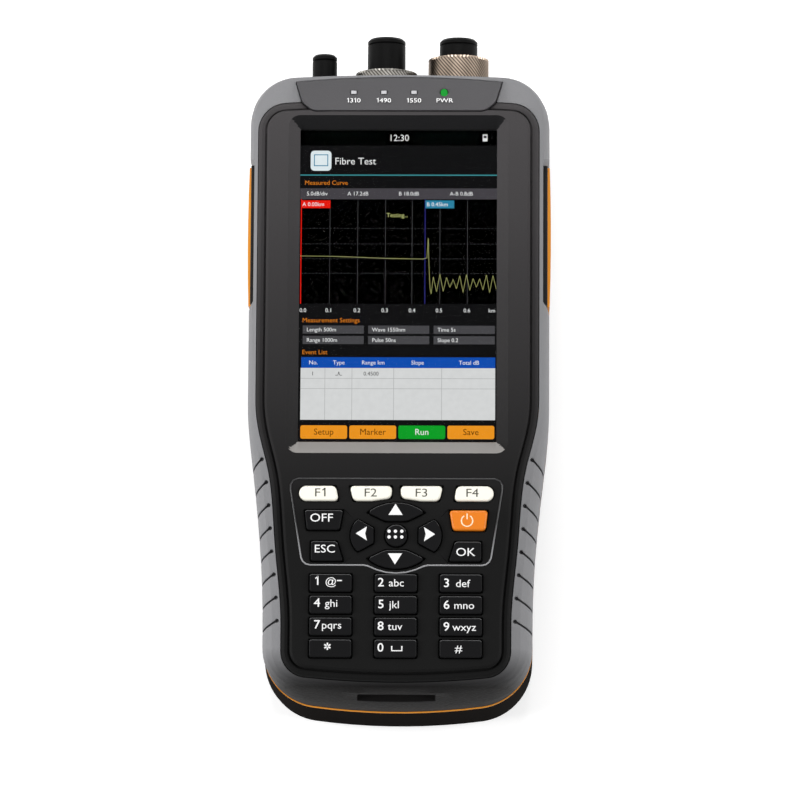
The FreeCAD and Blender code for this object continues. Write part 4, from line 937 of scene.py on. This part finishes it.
    def dots(self, at: Pair, step: Pair) -> None:
        """Print the centre key's two rows of three dots, from their middle and their steps in mm."""
        pieces = []
        for i in range(6):
            row, column = divmod(i, 3)
            bpy.ops.mesh.primitive_circle_add(vertices=20, radius=0.56 * MM, fill_type="NGON")
            pieces.append(bpy.context.active_object)
            settle(pieces[i], (at[0] + (column - 1) * step[0], at[1] + (0.5 - row) * step[1], self.ink))
        self.put("key_centre", pieces)

    def arrow(self, key: str, at: Pair, turn: float, notch: float) -> None:
        """Print one arrow head that points away from the centre key.

        Args:
            key: Key that carries it.
            at: Middle of its base, in mm.
            turn: Turn from pointing to the ports, in degrees.
            notch: How far its base is drawn in, in mm.
        """
        half, long = 2.38, 3.75
        bpy.ops.mesh.primitive_circle_add(vertices=4, radius=1 * MM, fill_type="NGON")
        piece = bpy.context.active_object
        with editing(piece):
            pick(piece, "VERT", lambda v: v.co.y < -0.5 * MM)
            bpy.ops.transform.translate(value=(0, (1 + notch / long) * MM, 0))
        piece.scale = (half, long, 1)
        piece.rotation_euler = (0, 0, math.radians(turn))
        settle(piece, (*at, self.ink))
        self.put(key, [piece])

    def bead(self) -> None:
        """Run the thin moulded bead round the upper keys, dipping under the lowest one, in a painted
        highlight.
        """
        points = [*self.half_bead, *((-x, s) for x, s in reversed(self.half_bead[1:]))]
        line = ribbon([(x, FOOT + s) for x, s in points], 0.55, self.face, closed=True, flat=1.0)
        smooth(line, 60)
        dress(line, "keypad_bead", Skin.BEAD)


@dataclass
class Picture:
    """What the lit display shows: bars, a chart with its trace, cells, a table and four buttons.

    Places are in mm: x from the middle, and down from the top of the picture.

    Attributes:
        top: Frame y of the picture's top.
        half: Half its width.
        height: Its height.
        level: Height of its lowest layer over the back.
        step: Height between its layers.
        small: Height of the smallest lettering.
        chart_ends: Top and foot of the chart.
        table_ends: Top and foot of the table's white part.
        strength: Strength of its light.
        shades: Every colour by name.
    """

    top: float = 203.9 + FOOT
    half: float = 33.7
    height: float = 107.9
    level: float = 51.43
    step: float = 0.03
    small: float = 1.4
    chart_ends: Pair = (24.3, 60.5)
    table_ends: Pair = (82.6, 100.4)
    strength: float = 0.96
    shades: dict[str, str] = field(
        default_factory=lambda: {
            "night": "#131314", "chart": "#000000", "row": "#48454A", "cell": "#4B4A4D", "teal": "#3D8F96",
            "amber": "#E0801F", "white": "#F2F2F2", "red": "#EE1C10", "cyan": "#2E86A8", "lime": "#B9BC74",
            "grid": "#47474B", "blue": "#1450B4", "paper": "#DEDEDE", "rule": "#B9B9B9", "ink": "#333333",
            "orange": "#F59A24", "brown": "#5E3205", "green": "#12A32A", "tile": "#E9F3F6",
            "cursor": "#2A2A7A",
        }
    )

    def __post_init__(self) -> None:
        """Start with an empty picture."""
        self.parts: dict[str, list[Piece]] = {}

    def keep(self, shade: str, *pieces: Piece) -> None:
        """Put pieces with the others of their colour."""
        self.parts.setdefault(shade, []).extend(pieces)

    def area(
        self, shade: str, left: float, right: float, head: float, foot: float, layer: int, radius: float = 0.0
    ) -> None:
        """Fill one rectangle of the picture, with round corners where it has a radius."""
        piece = plate(left, right, self.top - foot, self.top - head, self.level + layer * self.step)
        if radius:
            with editing(piece):
                bpy.ops.mesh.select_all(action="SELECT")
                bpy.ops.mesh.bevel(offset=radius * MM, segments=5, affect="VERTICES")
        self.keep(shade, piece)

    def words(
        self, shade: str, text: str, x: float, base: float, size: float,
        align: Align = Align.LEFT, layer: int = 4,
    ) -> None:
        """Set one line of lettering."""
        self.keep(shade, text_mesh(text, size, (x, self.top - base, self.level + layer * self.step), align))

    def line(self, shade: str, points: list[Pair], width: float, layer: int = 3) -> None:
        """Draw one line of even width."""
        level = self.level + layer * self.step
        places = [(x, self.top - down) for x, down in points]
        self.keep(shade, *(stroke(a, b, width, level) for a, b in zip(places, places[1:])))

    def build(self) -> None:
        """Draw every part of the picture and join it by colour."""
        self.bars()
        self.chart()
        self.lists()
        for shade, pieces in self.parts.items():
            name = "picture_" + shade
            dress(joined(pieces), name, Lit(name, self.shades[shade], self.strength))
        log.info("picture: %d colours", len(self.parts))

    def bars(self) -> None:
        """Draw the status bar, the title bar and the readings."""
        self.area("chart", -self.half, self.half, 0, 5.6, 1)
        self.area("night", -self.half, self.half, 5.6, self.height, 1)
        self.words("white", "12:30", 0, 4.0, 2.3, Align.CENTER)
        self.area("white", 28.7, 30.3, 1.7, 4.1, 2)
        self.area("chart", 29.0, 30.0, 2.1, 3.0, 3)
        self.area("tile", -30.2, -23.1, 7.4, 14.4, 2, 1.3)
        self.area("cyan", -29.1, -24.2, 8.7, 12.8, 3)
        self.area("tile", -28.8, -24.5, 9.0, 12.5, 4)
        self.words("white", "Fibre Test", -22.0, 12.2, 2.5)
        self.area("teal", -self.half, self.half, 15.7, 16.1, 2)
        self.words("amber", "Measured Curve", -32.2, 19.3, 1.6)
        self.area("row", -self.half, self.half, 20.5, 24.3, 2)
        for x, text in ((-31.5, "5.0dB/div"), (-17.5, "A 17.2dB"), (0.0, "B 18.0dB"), (17.5, "A-B 0.8dB")):
            self.words("white", text, x, 23.0, self.small)

    def chart(self) -> None:
        """Draw the chart with its grid, cursors, labels and trace."""
        self.area("chart", -self.half, self.half, *self.chart_ends, 2)
        for x in (-23.4, -13.9, -4.4, 4.7, 14.2, 23.6):
            self.area("grid", x - 0.07, x + 0.07, *self.chart_ends, 3)
        for down in (34.4, 39.8, 44.9, 50.0):
            for i in range(56):
                x = -33.0 + i * 1.2
                self.area("grid", x, x + 0.6, down - 0.06, down + 0.06, 3)
        self.area("cursor", 9.0, 9.25, *self.chart_ends, 4)
        self.area("red", -33.4, -33.1, *self.chart_ends, 4)
        self.area("red", -33.3, -23.3, 24.7, 27.4, 4)
        self.words("white", "A 0.00km", -32.9, 26.7, self.small, layer=5)
        self.area("cyan", 9.2, 19.0, 24.7, 27.4, 4)
        self.words("white", "B 0.45km", 9.6, 26.7, self.small, layer=5)
        self.words("lime", "Testing...", -0.4, 30.5, 1.5, Align.CENTER)
        flat = [(-33.5, 44.0), (-24.0, 44.1), (-14.0, 44.4), (-4.0, 44.8), (8.4, 45.0)]
        spike = [(9.8, 44.6), (10.2, 37.8), (10.5, 47.0), (10.9, 55.0), (11.3, 57.0)]
        waves = [(12.0 + i * 1.13, (51.2, 55.6)[i % 2] + 0.9 * math.sin(i * 2.3)) for i in range(20)]
        self.line("lime", flat + spike + waves, 0.12, 5)
        for i, x in enumerate((-32.4, -23.6, -14.0, -4.5, 4.8, 14.0, 23.5)):
            self.words("white", f"0.{i}", x, 63.4, self.small, Align.CENTER)
        self.words("white", "km", 32.0, 63.4, self.small, Align.CENTER)

    def lists(self) -> None:
        """Draw the cells, the table and the four buttons."""
        self.words("amber", "Measurement Settings", -32.6, 66.9, 1.6)
        cells = (("Length 500m", "Wave 1550nm", "Time 5s"), ("Range 1000m", "Pulse 50ns", "Slope 0.2"))
        for row, texts in enumerate(cells):
            for column, text in enumerate(texts):
                left, head = -32.4 + column * 22.3, 68.0 + row * 3.6
                self.area("cell", left, left + 20.8, head, head + 2.8, 2)
                self.words("white", text, left + 1.3, head + 2.05, self.small)
        self.words("amber", "Event List", -32.6, 77.9, 1.6)
        self.area("blue", -32.8, 33.2, 78.9, 82.6, 2)
        heads = ((-28.7, "No."), (-20.0, "Type"), (-8.3, "Range km"), (6.8, "Slope"), (24.3, "Total dB"))
        for x, text in heads:
            self.words("white", text, x, 81.4, 1.45, Align.CENTER)
        self.area("paper", -33.0, 33.2, *self.table_ends, 2)
        for x in (-24.7, -15.5, -1.3, 15.0):
            self.area("rule", x - 0.09, x + 0.09, *self.table_ends, 3)
        for down in (86.2, 89.7):
            self.area("rule", -33.0, 33.2, down - 0.09, down + 0.09, 3)
        self.words("ink", "1", -28.9, 85.2, self.small, Align.CENTER)
        self.words("ink", "0.4500", -9.0, 85.2, self.small, Align.CENTER)
        self.line("ink", [(-21.2, 85.1), (-20.3, 85.1), (-20.0, 83.9), (-19.7, 85.1), (-18.9, 85.1)], 0.18)
        for i, text in enumerate(("Setup", "Marker", "Run", "Save")):
            shade, ink = ("green", "white") if text == "Run" else ("orange", "brown")
            left = -32.9 + i * 16.65
            self.area(shade, left, left + 15.9, 102.3, 106.9, 2, 0.7)
            self.words(ink, text, left + 7.95, 105.5, 2.2, Align.CENTER)


@dataclass
class Indicators:
    """Lettering under the lamps of the indicator panel.

    Attributes:
        lamps: Each lamp's name and place across, in mm.
        slope: Slope of the panel, in degrees.
        station: Station of the lettering's baseline, in mm.
        height: Its height over the back, in mm.
    """

    lamps: tuple[tuple[str, float], ...] = (("1310", -15.45), ("1490", -5.15), ("1550", 5.15), ("PWR", 15.65))
    slope: float = 21.0
    station: float = 212.2
    height: float = 57.1

    def build(self) -> None:
        """Print the lamps' names on the sloping panel."""
        piece = joined([lettering(text, 1.8, (x, 0, 0), Align.CENTER, 0.0, 1.1) for text, x in self.lamps])
        piece.rotation_euler = (math.radians(-self.slope), 0, 0)
        settle(piece, (0, FOOT + self.station, self.height))
        dress(piece, "lamp_names", Skin.INK_WHITE)


@dataclass
class Couplings:
    """Knurled nickel coupling rings on the two larger ports.

    Attributes:
        rings: Name, x, start, length and radius of each ring, in mm, and its finish.
        height: Height of the ports' axis over the back, in mm.
        bore: Radius of the hole, in mm.
        teeth: Knurls round the ring.
        depth: Depth of the knurls, in mm.
        row: Distance between rows of knurls along the ring, in mm.
    """

    rings: tuple[tuple[str, float, float, float, float, Finish], ...] = (
        ("trace_ring", -5.1, 219.1, 9.0, 10.7, Skin.NICKEL),
        ("meter_ring", 20.0, 220.0, 13.0, 10.5, Skin.NICKEL_WARM),
    )
    height: float = 28.0
    bore: float = 5.3
    teeth: int = 52
    depth: float = 0.42
    row: float = 0.72

    def build(self) -> None:
        """Turn and knurl both rings."""
        for ring in self.rings:
            self.ring(*ring)

    def ring(self, name: str, x: float, start: float, long: float, radius: float, finish: Finish) -> None:
        """Model one ring, with sizes as in the table: a tube whose middle band carries crossed knurls."""
        bpy.ops.mesh.primitive_cylinder_add(
            vertices=self.teeth * 2, radius=radius * MM, depth=long * MM, end_fill_type="NGON"
        )
        piece = bpy.context.active_object
        with editing(piece):
            pick(piece, "FACE", lambda f: abs(f.normal.z) > 0.9)
            bpy.ops.mesh.inset(thickness=(radius - self.bore) * MM)
            bpy.ops.mesh.bridge_edge_loops()
            pick(piece, "EDGE", lambda e: abs(e.verts[0].co.z - e.verts[1].co.z) > 0.5 * long * MM
                 and e.verts[0].co.xy.length > (radius - 0.1) * MM)
            bpy.ops.mesh.subdivide(number_cuts=round(long / self.row))
            rows = sorted({round(v.co.z / MM, 3) for v in bmesh.from_edit_mesh(piece.data).verts})
            pick(piece, "VERT", lambda v: self.sunk(v, rows, radius))
            bpy.ops.transform.shrink_fatten(value=-self.depth * MM)
            grooves = {v.index for v in bmesh.from_edit_mesh(piece.data).verts if v.select}
            bpy.ops.mesh.select_all(action="SELECT")
            bpy.ops.mesh.normals_make_consistent(inside=False)
        marks = piece.data.attributes.new("groove", "FLOAT", "POINT")
        for index in grooves:
            marks.data[index].value = 1.0
        piece.rotation_euler = (math.radians(-90), 0, 0)
        settle(piece, (x, FOOT + start + long / 2, self.height))
        smooth(piece, 12)
        dress(piece, name + "_knurled", finish, name, (name,))

    def sunk(self, vert: bmesh.types.BMVert, rows: list[float], radius: float) -> bool:
        """Say whether a vertex of the knurled band lies in a groove."""
        row = rows.index(round(vert.co.z / MM, 3))
        if vert.co.xy.length < (radius - 0.1) * MM or row < 1 or row > len(rows) - 2:
            return False
        step = round(math.atan2(vert.co.y, vert.co.x) / (math.pi / self.teeth))
        return (row + step) % 2 == 0


class Carried:
    """CAD nodes that keep their own shape and get their real finish."""

    def build(self) -> None:
        """Give every CAD node its finish."""
        for name, source in frame["nodes"].items():
            for held in source.material_slots:
                held.material = SLOT_SKINS[held.material.name.split(".")[0]].material()
            log.info("%s finished", name)


def main() -> None:
    """Build every sub-assembly in order."""
    logging.basicConfig(level=logging.INFO, format="%(name)s: %(message)s")
    for part in (Studio(), Shells(), Keypad(), Picture(), Indicators(), Couplings(), Carried()):
        part.build()
        log.info("%s built", type(part).__name__)
    bpy.context.view_layer.update()


if __name__ == "__main__":
    main()
